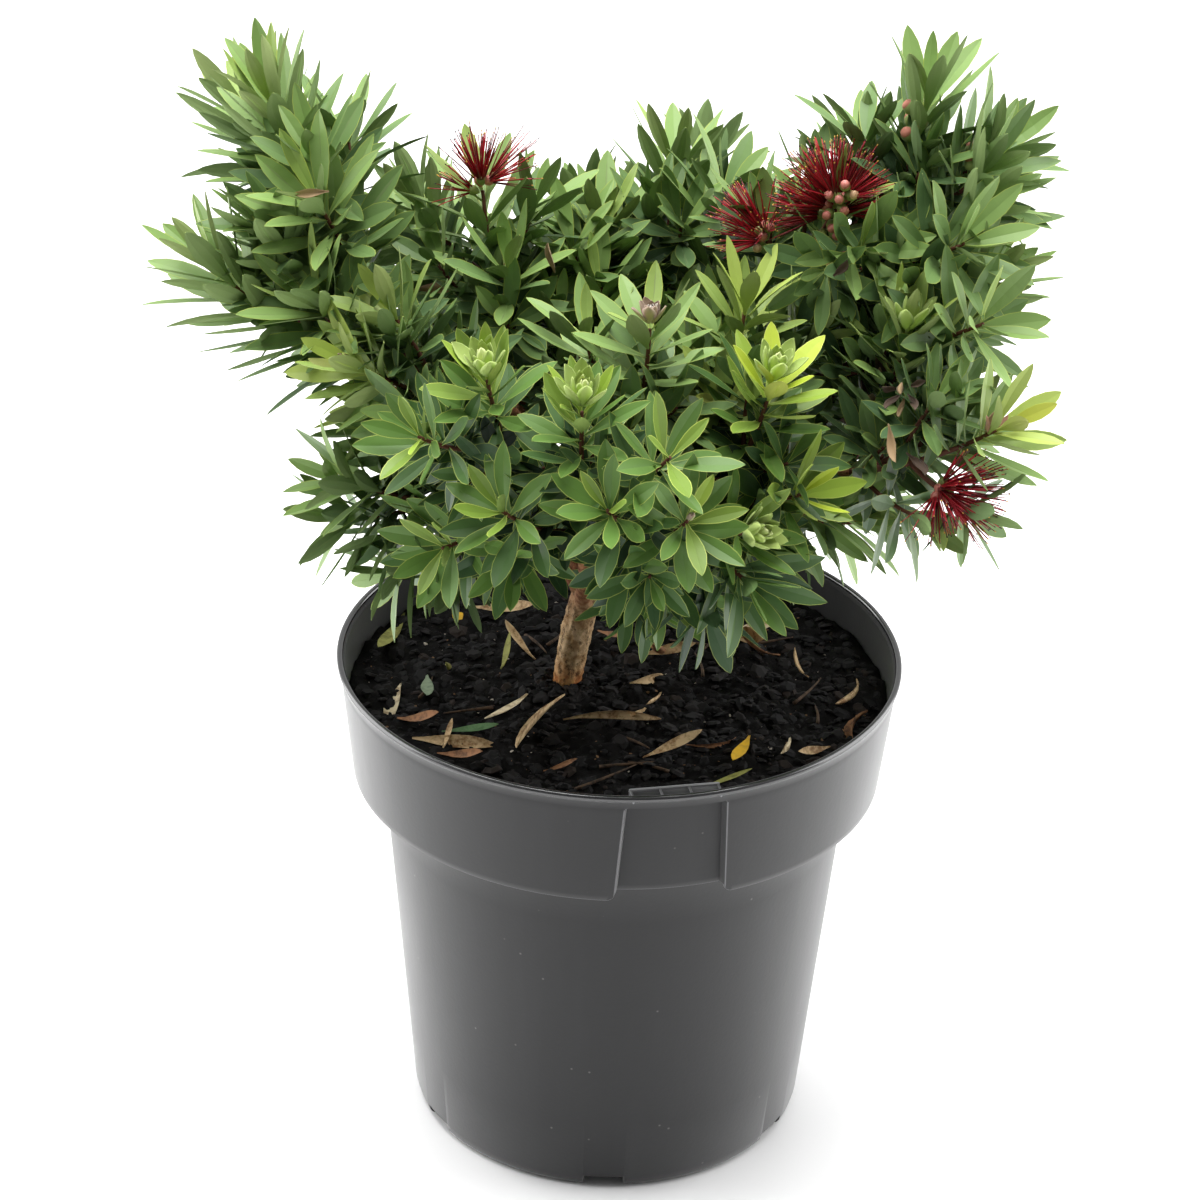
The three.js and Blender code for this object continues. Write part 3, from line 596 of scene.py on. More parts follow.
def leader_curve(tip_place, rise, turn, leafy):
    azimuth, reach, height = tip_place
    tip = direction(azimuth, 0) * reach
    tip = np.array([TRUNK_FORK[0] + tip[0], TRUNK_FORK[1] + tip[1], height])
    heading = azimuth + turn
    foot = tip - direction(heading, rise) * leafy
    early = foot + direction(heading, rise - STEM_CURL) * leafy / 3
    late = tip - direction(heading, rise + STEM_CURL) * leafy / 3
    return Bezier(foot, early, late, tip)


def bough_limb(name, parent, share, leader):
    start = parent.curve.point(share)
    end = leader.point(0)
    span = np.linalg.norm(end - start)
    leave = unit(lerp(parent.curve.tangent(share), unit(end - start), LEAVE_SHARE))
    curve = Bezier(start, start + leave * span / 3, end - leader.tangent(0) * span / 3, end)
    thick = MAIN_BOUGH_RADIUS if parent.name == "trunk" else SIDE_BOUGH_RADIUS
    return Limb(name, curve, lambda at: lerp(thick, BOUGH_TIP_RADIUS, at))


def side_way(axis, roll):
    """The way out of a shoot: 0 is its right, 90 under it, 180 its left, 270 above."""
    return turned(unit(np.cross(axis, UP)), axis, roll)


def side_curve(leader, leafy, rolls, index, random):
    share = lerp(*SIDE_FEET, (index + SIDE_STAGGER * random()) / len(rolls))
    start, axis = leader.point(share), leader.tangent(share)
    out = side_way(axis, rolls[index] + jitter(random, SIDE_ROLL_JITTER))
    length = leafy * SIDE_SHARE * lerp(*SIDE_LENGTHS, random())
    return sprung(start, axis, out, length, SIDE_SPREAD)


def sprung(start, axis, out, length, spread):
    """A shoot that leaves its carrier at an angle and straightens."""
    angle = radians(spread)
    early = axis * cos(angle) + out * sin(angle)
    late = unit(lerp(early, axis, SIDE_STRAIGHTEN) + UP * SIDE_LIFT)
    bend = start + early * length / 2
    return Bezier(start, bend, bend + late * length / 2)


class Shoot:
    """A leafy stem of a rank, with its tone and the length of its leaves."""

    def __init__(self, curve, tone, leaf, rank, first=None):
        self.curve, self.tone, self.leaf, self.rank = curve, tone, leaf, rank
        self.first = FIRST_LEAF[rank] if first is None else first
        self.last = LAST_LEAF
        self.length = curve.length()
        self.vigour = min(1, max(0, (leaf - LEAF_SIZES[0]) / (LEAF_SIZES[1] - LEAF_SIZES[0])))

    def radius_at(self, share):
        return lerp(STEM_RADII[self.rank], STEM_TIP_RADIUS, share)


def twigs_of(shoot, count, random):
    made = []
    for i in range(count):
        share = lerp(*TWIG_FEET, (i + random()) / count)
        axis = shoot.curve.tangent(share)
        out = side_way(axis, 360 * random() + i * GOLDEN_ANGLE)
        length = shoot.length * lerp(*TWIG_SHARES, shoot.vigour) * lerp(*TWIG_LENGTHS, random())
        curve = sprung(shoot.curve.point(share), axis, out, length, TWIG_SPREAD)
        tone = min(shoot.tone, MATURE_TONE) + lerp(*TWIG_TONES, shoot.vigour)
        made.append(Shoot(curve, tone, TWIG_LEAF * shoot.leaf, 2))
    return made


def grow():
    """All limbs, and each mass's shoots by its name."""
    limbs = {"trunk": trunk_limb()}
    masses = {}
    for index, (name, parent, share, tip, way, leafy, rolls, tone, leaf) in enumerate(SHOOTS):
        random = source_of(SIDE_SEEDS, index)
        leader = leader_curve(tip, *way, leafy)
        limbs[name] = bough_limb(name, limbs[parent], share, leader)
        shoots = [Shoot(leader, tone, leaf, 0)]
        for side in range(len(rolls)):
            curve = side_curve(leader, leafy, rolls, side, random)
            shoots.append(Shoot(curve, tone + SIDE_TONE, SIDE_LEAF * leaf, 1))
        finer = source_of(TWIG_SEEDS, index)
        for shoot in list(shoots):
            shoots.extend(twigs_of(shoot, TWIGS_BY_RANK[shoot.rank], finer))
        masses[name] = shoots
    for name, share, (azimuth, reach, height) in INNER_TWIGS:
        foot = limbs[name].curve.point(share)
        tip = direction(azimuth, 0) * reach + UP * height
        curve = Bezier(foot, lerp(foot, tip, 0.5) - UP * INNER_SAG, tip)
        masses[name].append(Shoot(curve, INNER_TONE, INNER_LEAF, 2, INNER_FIRST_LEAF))
    for mass, shoot, share, _ in BLOSSOMS:
        masses[mass][shoot].last = share
    for mass, shoot, _ in LEAF_BUDS:
        masses[mass][shoot].last = LAST_BEFORE_BUD
    return limbs, masses


# ---- stems and bark

TUBE_START = [1.0, 0.3, 0.2]  # a tube's first corner lies square to this and to its axis
TRUNK_FINENESS = (64, 72)  # corners round a tube, and rings along it
BOUGH_FINENESS = (12, 22)
STEM_FINENESS = (7, 8)
TRUNK_SWELL = 0.55  # the trunk is this much thinner at its foot, and thicker further up
SWELL_SPAN, SWELL_START = 4.5, 1.6  # of that wave along the trunk, in radians
FLAKES = (0.42, 2.6)  # height and size of the bark's flakes
CRACKS = (0.3, 1.1)  # and of the finer cracks
FLAKE_STRETCH = 0.45
BOUGH_ROUGHNESS = 0.3  # against the trunk's


def tube(batch, curve, radius_at, sides, steps, bump=None, slot=0, last=1.0):
    """A closed tapering tube up to a share of a curve. bump(point) adds to the radius."""
    rings = []
    normal = unit(np.cross(curve.tangent(0), TUBE_START))
    for i in range(steps + 1):
        share = last * i / steps
        centre, axis = curve.point(share), curve.tangent(share)
        normal = unit(normal - axis * np.dot(normal, axis))
        across = np.cross(axis, normal)
        for k in range(sides):
            angle = 2 * pi * k / sides
            out = normal * cos(angle) + across * sin(angle)
            radius = radius_at(share)
            if bump:
                radius += bump(centre + out * radius)
            rings.append(centre + out * radius)
    batch.add(rings, ring_faces(sides, steps), slot)


def ring_faces(sides, steps):
    """Faces of a closed stack of rings."""
    faces = []
    for i in range(steps):
        for k in range(sides):
            a, b = i * sides + k, i * sides + (k + 1) % sides
            faces.append([a, b, b + sides, a + sides])
    faces.append(list(range(sides))[::-1])
    faces.append([steps * sides + k for k in range(sides)])
    return faces


def bark_bump(point):
    """Flakes, stretched upwards, and finer cracks, in millimetres."""
    tall = np.array([point[0], point[1], point[2] * FLAKE_STRETCH])
    return FLAKES[0] * relief(tall, FLAKES[1]) + CRACKS[0] * relief(point, CRACKS[1], 2)


def fine_bump(point):
    return BOUGH_ROUGHNESS * bark_bump(point)


def make_bark(limbs, finish):
    stem, *others = limbs.values()

    def girth(share):
        return stem.radius_at(share) + TRUNK_SWELL * sin(SWELL_SPAN * share - SWELL_START)

    trunk = Batch()
    tube(trunk, stem.curve, girth, *TRUNK_FINENESS, bark_bump)
    piece("trunk_bark", trunk, [finish], ["trunk"])
    boughs = Batch()
    for limb in others:
        tube(boughs, limb.curve, limb.radius_at, *BOUGH_FINENESS, fine_bump)
    names = [n for n in NODES if n.startswith("bough_")]
    piece("bough_bark", boughs, [finish], names)


def make_stems(masses):
    batch = Batch()
    for shoot in sum(masses.values(), []):
        tube(batch, shoot.curve, shoot.radius_at, *STEM_FINENESS, last=shoot.last)
    piece("stems", batch, [plain("stem", "5a3526", 0.7, specular=0.3)])


# ---- leaves


# The ring of corners at each station: left to right above, then back below. Slot 0 is the
# upper side, 1 the underside and 2 the margin.
RING_SLOTS = [2, 0, 0, 2, 1, 1, 1]
RING = len(RING_SLOTS)
BACK_WIDTH = 0.4  # width of the underside's flat strip
CREASE_DEPTH = 0.35  # depth of the crease above, against the thickness
BLADE_THINNING = 0.55  # how much thinner a blade is at its tip
MARGIN_SHARE = 0.35  # most that a margin takes of a blade's half-width
LEAST_WIDTHS = (0.14, 0.05)  # at the foot and at the tip
STRAIGHT = 1e-3  # least bend that is reckoned with


def half_width(share):
    """A blade's half-width along it, as a share of its greatest: long-tapered to the
    foot and bluntly rounded to a small point."""
    to_foot = np.sin(np.pi / 2 * np.minimum(1, share / LEAF_WIDEST)) ** 1.1
    past = np.maximum(0, share - LEAF_WIDEST) / (1 - LEAF_WIDEST)
    to_tip = np.maximum(0, 1 - past ** 1.9) ** 0.75
    return np.maximum(to_foot * to_tip, np.where(share < 0.5, *LEAST_WIDTHS))


def blade_points(rows):
    """Corners of all blades: blade x corner x 3, from arrays of their measures."""
    share = LEAF_STATIONS[None, :]
    length, bend, cup, twist = (rows[k][:, None] for k in ("length", "bend", "cup", "twist"))
    bend = np.where(np.abs(bend) < STRAIGHT, STRAIGHT, bend)
    along = length * np.sin(bend * share) / bend
    rise = length * (1 - np.cos(bend * share)) / bend
    half = rows["width"][:, None] / 2 * half_width(share)
    thick = rows["thick"][:, None] * (1 - BLADE_THINNING * share)
    inner = half - np.minimum(LEAF_MARGIN, MARGIN_SHARE * half)
    back = BACK_WIDTH * half
    across = np.stack([-half, -inner, 0 * half, inner, half, back, -back], -1)
    drop = thick[..., None] * np.array([0, 0, CREASE_DEPTH, 0, 0, 1, 1])
    above = cup[..., None] * np.abs(across) - drop
    turn = twist * share
    y = across * np.cos(turn)[..., None] - above * np.sin(turn)[..., None]
    z = across * np.sin(turn)[..., None] + above * np.cos(turn)[..., None]
    slope = (bend * share)[..., None]
    local_x = along[..., None] - z * np.sin(slope)
    local_z = rise[..., None] + z * np.cos(slope)
    local = np.stack([local_x, y, local_z], -1).reshape(len(length), -1, 3)
    return rows["place"][:, None, :] + np.einsum("nck,nkj->ncj", local, rows["frame"])


def blade_faces():
    """One blade's faces with their slots. They are wound the other way than a tube's."""
    stations = len(LEAF_STATIONS) - 1
    *sides, foot, tip = ring_faces(RING, stations)
    faces = [[a, d, c, b] for a, b, c, d in sides] + [foot[::-1], tip[::-1]]
    return faces, RING_SLOTS * stations + [1, 2]


def blade(place, forward, normal, length, width, tint, bend, cup, twist, thick=LEAF_THICKNESS):
    """One blade's measures. normal is the way its upper side faces."""
    across = unit(np.cross(normal, forward))
    frame_rows = np.array([forward, across, np.cross(forward, across)])
    return {"place": place, "frame": frame_rows, "length": length, "width": width,
            "bend": bend, "cup": cup, "twist": twist, "thick": thick, "tint": tint}


def add_blades(batch, blades, slot=None):
    """Blades in one slot, or in the three slots of a leaf."""
    rows = {key: np.array([b[key] for b in blades], float) for key in blades[0]}
    faces, slots = blade_faces()
    batch.add_many(blade_points(rows), faces, slots if slot is None else [slot] * len(faces))


def rim_clear(point):
    """True if a leaf's point is out of the potting mix and the pot's wall."""
    reach = hypot(point[0], point[1])
    if point[2] > POT_HEIGHT + GROUND_GUARD:
        return True
    return reach < RIM_RADIUS - RIM_GUARD and point[2] > MIX_TOP_HEIGHT + GROUND_GUARD


def leaning(axis, roll, lean):
    """The way out of a stem, a way that leans out of it, and the upper side's way there."""
    radial = side_way(axis, roll)
    angle = radians(lean)
    forward = axis * cos(angle) + radial * sin(angle)
    return radial, forward, axis * sin(angle) - radial * cos(angle)


def leaves_of(shoot, random, blossoms):
    """Leaves spiral along a shoot, spreading at its foot and closing up at its tip."""
    blades = []
    vigour = shoot.vigour
    leafy = shoot.length * (shoot.last - shoot.first)
    count = round(leafy / lerp(*LEAF_PITCHES, vigour)) + LEAVES_AT_TIP
    start = 360 * random()
    spread = lerp(*LEAF_BASE_ANGLES, vigour)
    closed = lerp(*LEAF_TIP_ANGLES, vigour) + LEAF_TIP_OPENING * random() ** 2
    crowding, closing = lerp(*LEAF_CROWDING, vigour), lerp(*LEAF_CLOSING, vigour)
    mature = min(shoot.tone, MATURE_TONE)
    # The first leaves start deeper in tone: partly the real green of old leaves, partly painted
    # shade deep in the crown.
    old_and_shaded = mature - lerp(*OLD_AND_SHADED_TONES, vigour)
    flush = FLUSHES[0] if FLUSH_TONES[0] < shoot.tone < FLUSH_TONES[1] else FLUSHES[1]
    for i in range(count):
        progress = i / (count - 1)
        share = lerp(shoot.first, shoot.last, progress ** crowding)
        lean = lerp(spread, closed, progress ** closing) + jitter(random, LEAN_JITTER)
        roll = start + i * GOLDEN_ANGLE + jitter(random, TURN_JITTER)
        radial, forward, normal = leaning(shoot.curve.tangent(share), roll, lean)
        normal = turned(normal, forward, jitter(random, ROLL_JITTER))
        young = max(0.0, (progress - YOUNG_FROM) / YOUNG_SPAN)
        old = max(0.0, 1 - share / OLD_UP_TO)
        length = shoot.leaf * (1 - YOUNG_SHORTER * young ** 2)
        length *= lerp(1, lerp(*OLD_LEAF_LENGTHS, vigour), old)
        length *= lerp(*LEAF_LENGTHS, random())
        slim = lerp(*LEAF_WIDTHS, random()) * lerp(*LEAF_SLIMNESS, vigour)
        width = length * slim * lerp(1, lerp(*OLD_LEAF_WIDTHS, vigour), old)
        tint = lerp(old_and_shaded, mature, min(1, RIPENING * progress))
        tint += (shoot.tone + TIP_TONE - mature) * progress ** flush + jitter(random, TONE_JITTER)
        place = shoot.curve.point(share) + radial * LEAF_OFFSET
        middle, tip = place + forward * length * GUARDED_SHARE, place + forward * length
        if any(near(point, blossom) for point in (middle, tip) for blossom in blossoms):
            continue
        if rim_clear(tip) and rim_clear(middle):
            bend = lerp(*LEAF_BENDS, random()) * lerp(FIRST_BEND, 1, progress)
            cup = lerp(*LEAF_CUPS, random())
            twist = jitter(random, LEAF_TWIST)
            blades.append(blade(place, forward, normal, length, width, tint, bend, cup, twist))
    return blades


def near(point, blossom):
    """True if a point is inside a blossom's brush, or close before it."""
    away = point - blossom
    ahead = min(BRUSH_CLEARING, max(0.0, float(np.dot(away, BRUSH_FRONT))))
    return np.linalg.norm(away - BRUSH_FRONT * ahead) < BRUSH_RADIUS - BRUSH_NARROWING * ahead


def make_leaves(masses):
    """One piece or more for each tint. Each leaf's tint follows its shoot and its age, and a
    shoot's first leaves are deepened further as painted shade inside the crown.
    """
    dealt = {family: [[] for _ in range(TINT_STEPS)] for family in TINTS}
    blossoms = [masses[mass][shoot].curve.point(share) for mass, shoot, share, _ in BLOSSOMS]
    for index, shoots in enumerate(masses.values()):
        random = source_of(LEAF_SEEDS, index)
        long = shoots[0].leaf > LONG_LEAF and shoots[0].tone > SHADED_TONE
        family = "olive" if long else "green"
        for shoot in shoots:
            for made in leaves_of(shoot, random, blossoms):
                step = int(np.clip(made["tint"], 0, 0.999) * TINT_STEPS)
                dealt[family][step].append(made)
    names = [n for n in NODES if n.startswith("foliage_")]
    for family, steps in dealt.items():
        finishes = leaf_finishes(family)
        for step, blades in enumerate(steps):
            for part, first in enumerate(range(0, len(blades), LEAVES_PER_PIECE)):
                batch = Batch()
                add_blades(batch, blades[first : first + LEAVES_PER_PIECE])
                name = f"leaves_{family}_{step}{'abcdef'[part]}"
                piece(name, batch, finishes[step], names, smooth=False)
                names = ()


# ---- blossom, buds and bracts

# Each blossom: its mass, its shoot there, where 0 is the leader, and its place along it.
# Then its bundles of stamens: (azimuth, rise, distance along the shoot, count, length).
BLOSSOMS = [
    ("top_left", 0, 0.95, [
        (250, 72, 1, 48, 19), (330, 42, 2, 26, 18), (190, 22, -1, 16, 14),
        (20, 30, 3, 12, 20), (130, 60, 0, 20, 17),
    ]),
    ("right_blossom", 0, 0.76, [
        (150, 62, 2, 52, 20), (55, 62, 1, 52, 20), (200, 30, 0, 40, 18), (185, 8, -3, 42, 18),
        (345, 25, -2, 38, 18), (330, 50, 3, 34, 17), (215, 55, 3, 30, 18), (95, 20, -4, 30, 18),
    ]),
    ("right_blossom", 1, 0.5, [
        (165, 40, 0, 38, 18), (215, 18, -2, 34, 17), (110, 55, 1, 26, 17), (255, 40, 1, 22, 15),
    ]),
    ("right_lime", 2, 0.45, [
        (335, -20, 0, 44, 19), (10, 12, 0, 40, 19), (300, 5, -3, 30, 18), (20, -45, 1, 30, 18),
        (260, -25, -1, 26, 17), (330, 40, -2, 20, 17),
    ]),
]
BRUSH_RADIUS = 13  # leaves keep this far off a blossom's middle
BRUSH_CLEARING = 26  # how far before a blossom the leaves stand aside
BRUSH_NARROWING = 0.2  # by how much less they do, for each mm before it
BRUSH_FRONT = direction(262, 30)
STAMEN_RADII = (0.3, 0.17)  # at the foot and under the anther
STAMEN_FAN = 30  # degrees between a bundle's middle and its outer stamens
STAMEN_FINENESS = (3, 5)
STAMEN_BOWS = (0.2, 1.1)
STAMEN_LENGTHS = (0.72, 1.05)
STAMEN_SPACING = 2.2
POLLEN_SHARE = 0.35
STAMEN_FOOT = 0.8  # share of its cup's length where a stamen starts
STAMEN_BEND = (0.55, 2.2)  # where it bends, and how much further out than there its tip is
ANTHER = (0.42, 0.28, 0.3)  # half-length, half-width, and the ends' width against it
CUP_PROFILE = [(0.0, 0.2), (0.25, 1.3), (0.6, 1.9), (0.85, 1.75), (1.0, 1.45)]
CUP_LENGTH = 4.0
CUP_SIDES = 10
CUP_STAND = 1.2  # how far off its shoot a cup stands
BARE_CUP_STAND = 1.6
BARE_CUP_LENGTH = 1.3  # against a cup with stamens
BARE_CUP_RIM = (0.85, 0.75, 0.9)  # width, place along the way out, and length, against the same
PINK_RIMS = 0.7  # share of bare cups whose rim is pink
BLOSSOM_FINISHES = {"stamen": "8f0c1c", "stamen_bright": "b01528", "stamen_deep": "650813",
                    "anther": "2e0a0d", "pollen": "c79a3c", "cup": "7f8a4a", "cup_pink": "c4766a",
                    "cup_tan": "c9a27c"}

# Leaf buds at the ends of shoots: mass, shoot, kind.
LEAF_BUDS = [
    ("front", 0, "rosette"), ("front_left", 0, "rosette"), ("front_low", 1, "rosette"),
    ("right_inner", 0, "rosette"), ("front_right_lime", 0, "rosette"),
    ("middle", 0, "scales"), ("front_low", 0, "bud"), ("right_lime", 0, "bud"),
    ("centre", 0, "bud"), ("top_back", 0, "bud"), ("left_inner", 0, "bud"),
]
# For each kind: leaflets, lengths from outside in, width against length, leans from outside
# in, and the outer and the inner finish.
BUD_KINDS = {
    "rosette": (22, (15, 8), 0.4, (62, 4), ("fuzz_green", "fuzz_pale")),
    "scales": (16, (8.5, 5), 0.6, (62, 10), ("fuzz_tan", "fuzz_grey")),
    "bud": (7, (5.0, 4.0), 0.5, (24, 4), ("fuzz_tan", "fuzz_green")),
}
BUD_LENGTHS = (0.9, 1.1)
BUD_STAND = 0.5  # how far off the shoot's tip the leaflets start
BUD_BENDS = (0.5, 1)
BUD_CUP = 0.35
BUD_THICKNESS = 0.8
OUTER_SHARE = 0.6  # share of a bud's leaflets that have its outer finish
TAN, BROWN, PINK = "dead_tan", "dead_brown", "dead_pink"
DRY_THICKNESS = 0.5
# Papery bracts and dead leaves that still hang on: mass, share of its leader, roll, lean,
# length, finish.
BRACTS = [
    ("right_inner", 0.62, 250, 70, 13, BROWN), ("right_inner", 0.6, 300, 80, 11, TAN),
    ("right_inner", 0.55, 200, 75, 12, BROWN), ("right_inner", 0.5, 330, 85, 12, TAN),
    ("right_inner", 0.44, 270, 95, 14, BROWN), ("right_inner", 0.36, 240, 100, 16, TAN),
    ("right_inner", 0.3, 310, 90, 14, BROWN), ("right_lime", 0.9, 200, 60, 8, PINK),
    ("right_lime", 0.88, 300, 65, 9, PINK), ("right_lime", 0.86, 250, 75, 10, TAN),
    ("left_high", 0.4, 190, 70, 26, TAN), ("top_left", 0.35, 260, 70, 24, TAN),
    ("centre", 0.7, 280, 60, 16, TAN), ("right_high", 0.3, 270, 80, 22, TAN),
    ("left_far", 0.3, 250, 80, 20, BROWN), ("back", 0.3, 90, 80, 24, TAN),
    ("front_low", 0.25, 120, 95, 15, BROWN), ("back_right", 0.3, 200, 70, 22, TAN),
]
BRACT_WIDTH = 0.28
BRACT_BENDS = (0.4, 1.6)
BRACT_CUP = 0.5
# Dead leaves caught among the live ones: foot, azimuth, rise, length, bend, finish.
CAUGHT_LEAVES = [
    ((-101, -15, 361), 186, -8, 12, 0.4, TAN), ((-76, 34, 304), 0, 14, 20, 0.5, TAN),
    ((-26, 3, 326), 180, 80, 12, 0.3, TAN), ((66, -21, 338), 20, 30, 11, 1.6, BROWN),
    ((84, -77, 312), 0, -75, 14, 1.4, TAN), ((91, -69, 298), 350, -38, 14, 1.8, BROWN),
    ((88, -57, 315), 190, 10, 9, 1.2, BROWN), ((89, -58, 314), 215, -35, 10, 1.0, BROWN),
    ((90, -58, 313), 270, -60, 9, 1.2, TAN), ((91, -58, 314), 320, -30, 10, 1.4, BROWN),
    ((91, -57, 316), 350, 15, 8, 1.0, BROWN), ((89, -57, 317), 260, 40, 8, 1.5, TAN),
]
CAUGHT_WIDTH = 0.16
CAUGHT_CUP = 0.9
CAUGHT_ROLL = 50
CAUGHT_TWIST = 2.4
# Round woody fruit in clusters on one mass: shoot, share, roll.
FRUIT_MASS = "right_high"
FRUIT = [(0, 0.9, 250), (0, 0.86, 330), (0, 0.82, 200), (0, 0.78, 290), (1, 0.95, 250),
         (1, 0.88, 180), (1, 0.9, 320), (2, 0.9, 270), (2, 0.84, 200), (3, 0.8, 240)]
FRUIT_RADIUS = 2.7
FRUIT_STALK = 3.5
FRUIT_STALK_RADIUS = 0.7
FRUIT_LEAN = 62
FRUIT_SINK = 0.4  # how far it reaches down over its stalk
ROUND_SIDES = 12
HANGING_FINISHES = {"fuzz_green": "a9bd68", "fuzz_pale": "d2dc98", "fuzz_tan": "a08a78",
                    "fuzz_grey": "b5aca0", "dead_tan": "957a56", "dead_brown": "4a3626",
                    "dead_pink": "b58473", "fruit": "7d8a4c", "fruit_pink": "b5705c"}


def urn(batch, place, way, length, profile, sides, slot):
    """A small round body along `way`: profile rows are (share of length, radius)."""
    across = side_way(way, 0)
    over = np.cross(way, across)
    points = []
    for share, radius in profile:
        for k in range(sides):
            turn = 2 * pi * k / sides
            ring = across * cos(turn) + over * sin(turn)
            points.append(place + way * share * length + ring * radius)
    batch.add(points, ring_faces(sides, len(profile) - 1), slot)


def stamen_radius(share):
    return lerp(*STAMEN_RADII, share)


def add_stamen(batch, foot, way, length, bow, slots):
    """One thin stamen with its anther. slots holds the filament's and the anther's."""
    bend_share, tip_bow = STAMEN_BEND
    middle = foot + way * bend_share * length + bow
    tip = foot + way * length + tip_bow * bow
    curve = Bezier(foot, middle, tip)
    tube(batch, curve, stamen_radius, *STAMEN_FINENESS, slot=slots[0])
    end = curve.tangent(1)
    half, width, ends = ANTHER
    profile = [(0, ends * width), (0.5, width), (1, ends * width)]
    urn(batch, tip - end * half * 0.5, end, 2 * half, profile, 4, slots[1])


# Cups that have dropped their stamens: blossom, then (azimuth, rise, distance along).
BARE_CUPS = {
    1: [(262, 22, 5), (288, 8, 2), (244, 4, 0), (272, -6, -4), (306, 26, 6), (228, 34, 4),
        (264, 40, 9), (296, -12, -7), (250, -14, -8)],
    2: [(258, 20, 1), (285, 30, 4), (236, 6, -3)],
}


def add_bare_cup(batch, foot, way, ovary, rim):
    urn(batch, foot, way, BARE_CUP_LENGTH * CUP_LENGTH, CUP_PROFILE, CUP_SIDES, ovary)
    width, place, length = BARE_CUP_RIM
    slim = [(share, width * radius) for share, radius in CUP_PROFILE]
    start = foot + way * place * CUP_LENGTH
    urn(batch, start, way, length * CUP_LENGTH, slim, CUP_SIDES, rim)


def add_bundle(batch, foot, way, count, length, random):
    """A cup with its stamens, which fan out around one way."""
    green = random() < 0.5
    cup = batch.slot("cup" if green else "cup_pink")
    urn(batch, foot, way, CUP_LENGTH, CUP_PROFILE, CUP_SIDES, cup)
    for _ in range(count):
        spread = STAMEN_FAN * sqrt(random())
        aim = turned(turned(way, side_way(way, 0), spread), way, 360 * random())
        bow = side_way(aim, 360 * random()) * lerp(*STAMEN_BOWS, random())
        start = foot + way * (STAMEN_FOOT * CUP_LENGTH) + (aim - way) * STAMEN_SPACING
        red = batch.slot(("stamen", "stamen_bright", "stamen_deep")[int(3 * random())])
        tip = batch.slot("pollen" if random() < POLLEN_SHARE else "anther")
        add_stamen(batch, start, aim, length * lerp(*STAMEN_LENGTHS, random()), bow, (red, tip))


def make_blossoms(masses):
    batch = Batch(BLOSSOM_FINISHES)
    for index, (mass, shoot_index, share, bundles) in enumerate(BLOSSOMS):
        random = source_of(BLOSSOM_SEEDS, index)
        curve = masses[mass][shoot_index].curve
        middle, axis = curve.point(share), curve.tangent(share)
        for azimuth, rise, along, count, length in bundles:
            way = direction(azimuth, rise)
            foot = middle + axis * along + way * CUP_STAND
            add_bundle(batch, foot, way, count, length, random)
        for azimuth, rise, along in BARE_CUPS.get(index, []):
            way = direction(azimuth, rise)
            rim = batch.slot("cup_pink" if random() < PINK_RIMS else "cup_tan")
            foot = middle + axis * along + way * BARE_CUP_STAND
            add_bare_cup(batch, foot, way, batch.slot("cup"), rim)
    finishes = [plain(name, colour, 0.45) for name, colour in BLOSSOM_FINISHES.items()]
    piece("blossom", batch, finishes)


def on_shoot(shoot, share, roll, lean):
    """A place on a shoot, the way that leans out of it there, and its upper side's way."""
    _, forward, normal = leaning(shoot.curve.tangent(share), roll, lean)
    return shoot.curve.point(share), forward, normal


def add_bud(batch, shoot, kind, random):
    """Small leaves round the end of a shoot, which close up inwards."""
    count, lengths, slim, leans, (outer, inner) = BUD_KINDS[kind]
    for i in range(count):
        progress = i / (count - 1)
        lean = lerp(*leans, progress)
        place, way, normal = on_shoot(shoot, 1.0, i * GOLDEN_ANGLE, lean)
        length = lerp(*lengths, progress) * lerp(*BUD_LENGTHS, random())
        made = blade(place + way * BUD_STAND, way, normal, length, slim * length, 0,
                     lerp(*BUD_BENDS, random()), BUD_CUP, 0.0, BUD_THICKNESS)
        add_blades(batch, [made], batch.slot(outer if progress < OUTER_SHARE else inner))


def add_fruit(batch, shoot, share, roll):
    """A round fruit with a small pink top, on a short stalk."""
    place, way, _ = on_shoot(shoot, share, roll, FRUIT_LEAN)
    stalk = Bezier(place, place + way * 0.5 * FRUIT_STALK, place + way * FRUIT_STALK)
    tube(batch, stalk, lambda at: FRUIT_STALK_RADIUS, 6, 2, slot=batch.slot("fruit"))
    turns = [pi * k / 6 for k in range(1, 6)]
    round_rows = [(0.5 - 0.5 * cos(t), FRUIT_RADIUS * sin(t) ** 0.8) for t in turns]
    profile = [(0, 0.3), *round_rows, (0.96, 0.5)]
    foot, green = FRUIT_STALK - FRUIT_SINK, batch.slot("fruit")
    urn(batch, place + way * foot, way, 1.9 * FRUIT_RADIUS, profile, ROUND_SIDES, green)
    top = [(at, 0.8 * radius) for at, radius in profile]
    end = place + way * (foot + 0.85 * FRUIT_RADIUS)
    urn(batch, end, way, 1.2 * FRUIT_RADIUS, top, ROUND_SIDES, batch.slot("fruit_pink"))


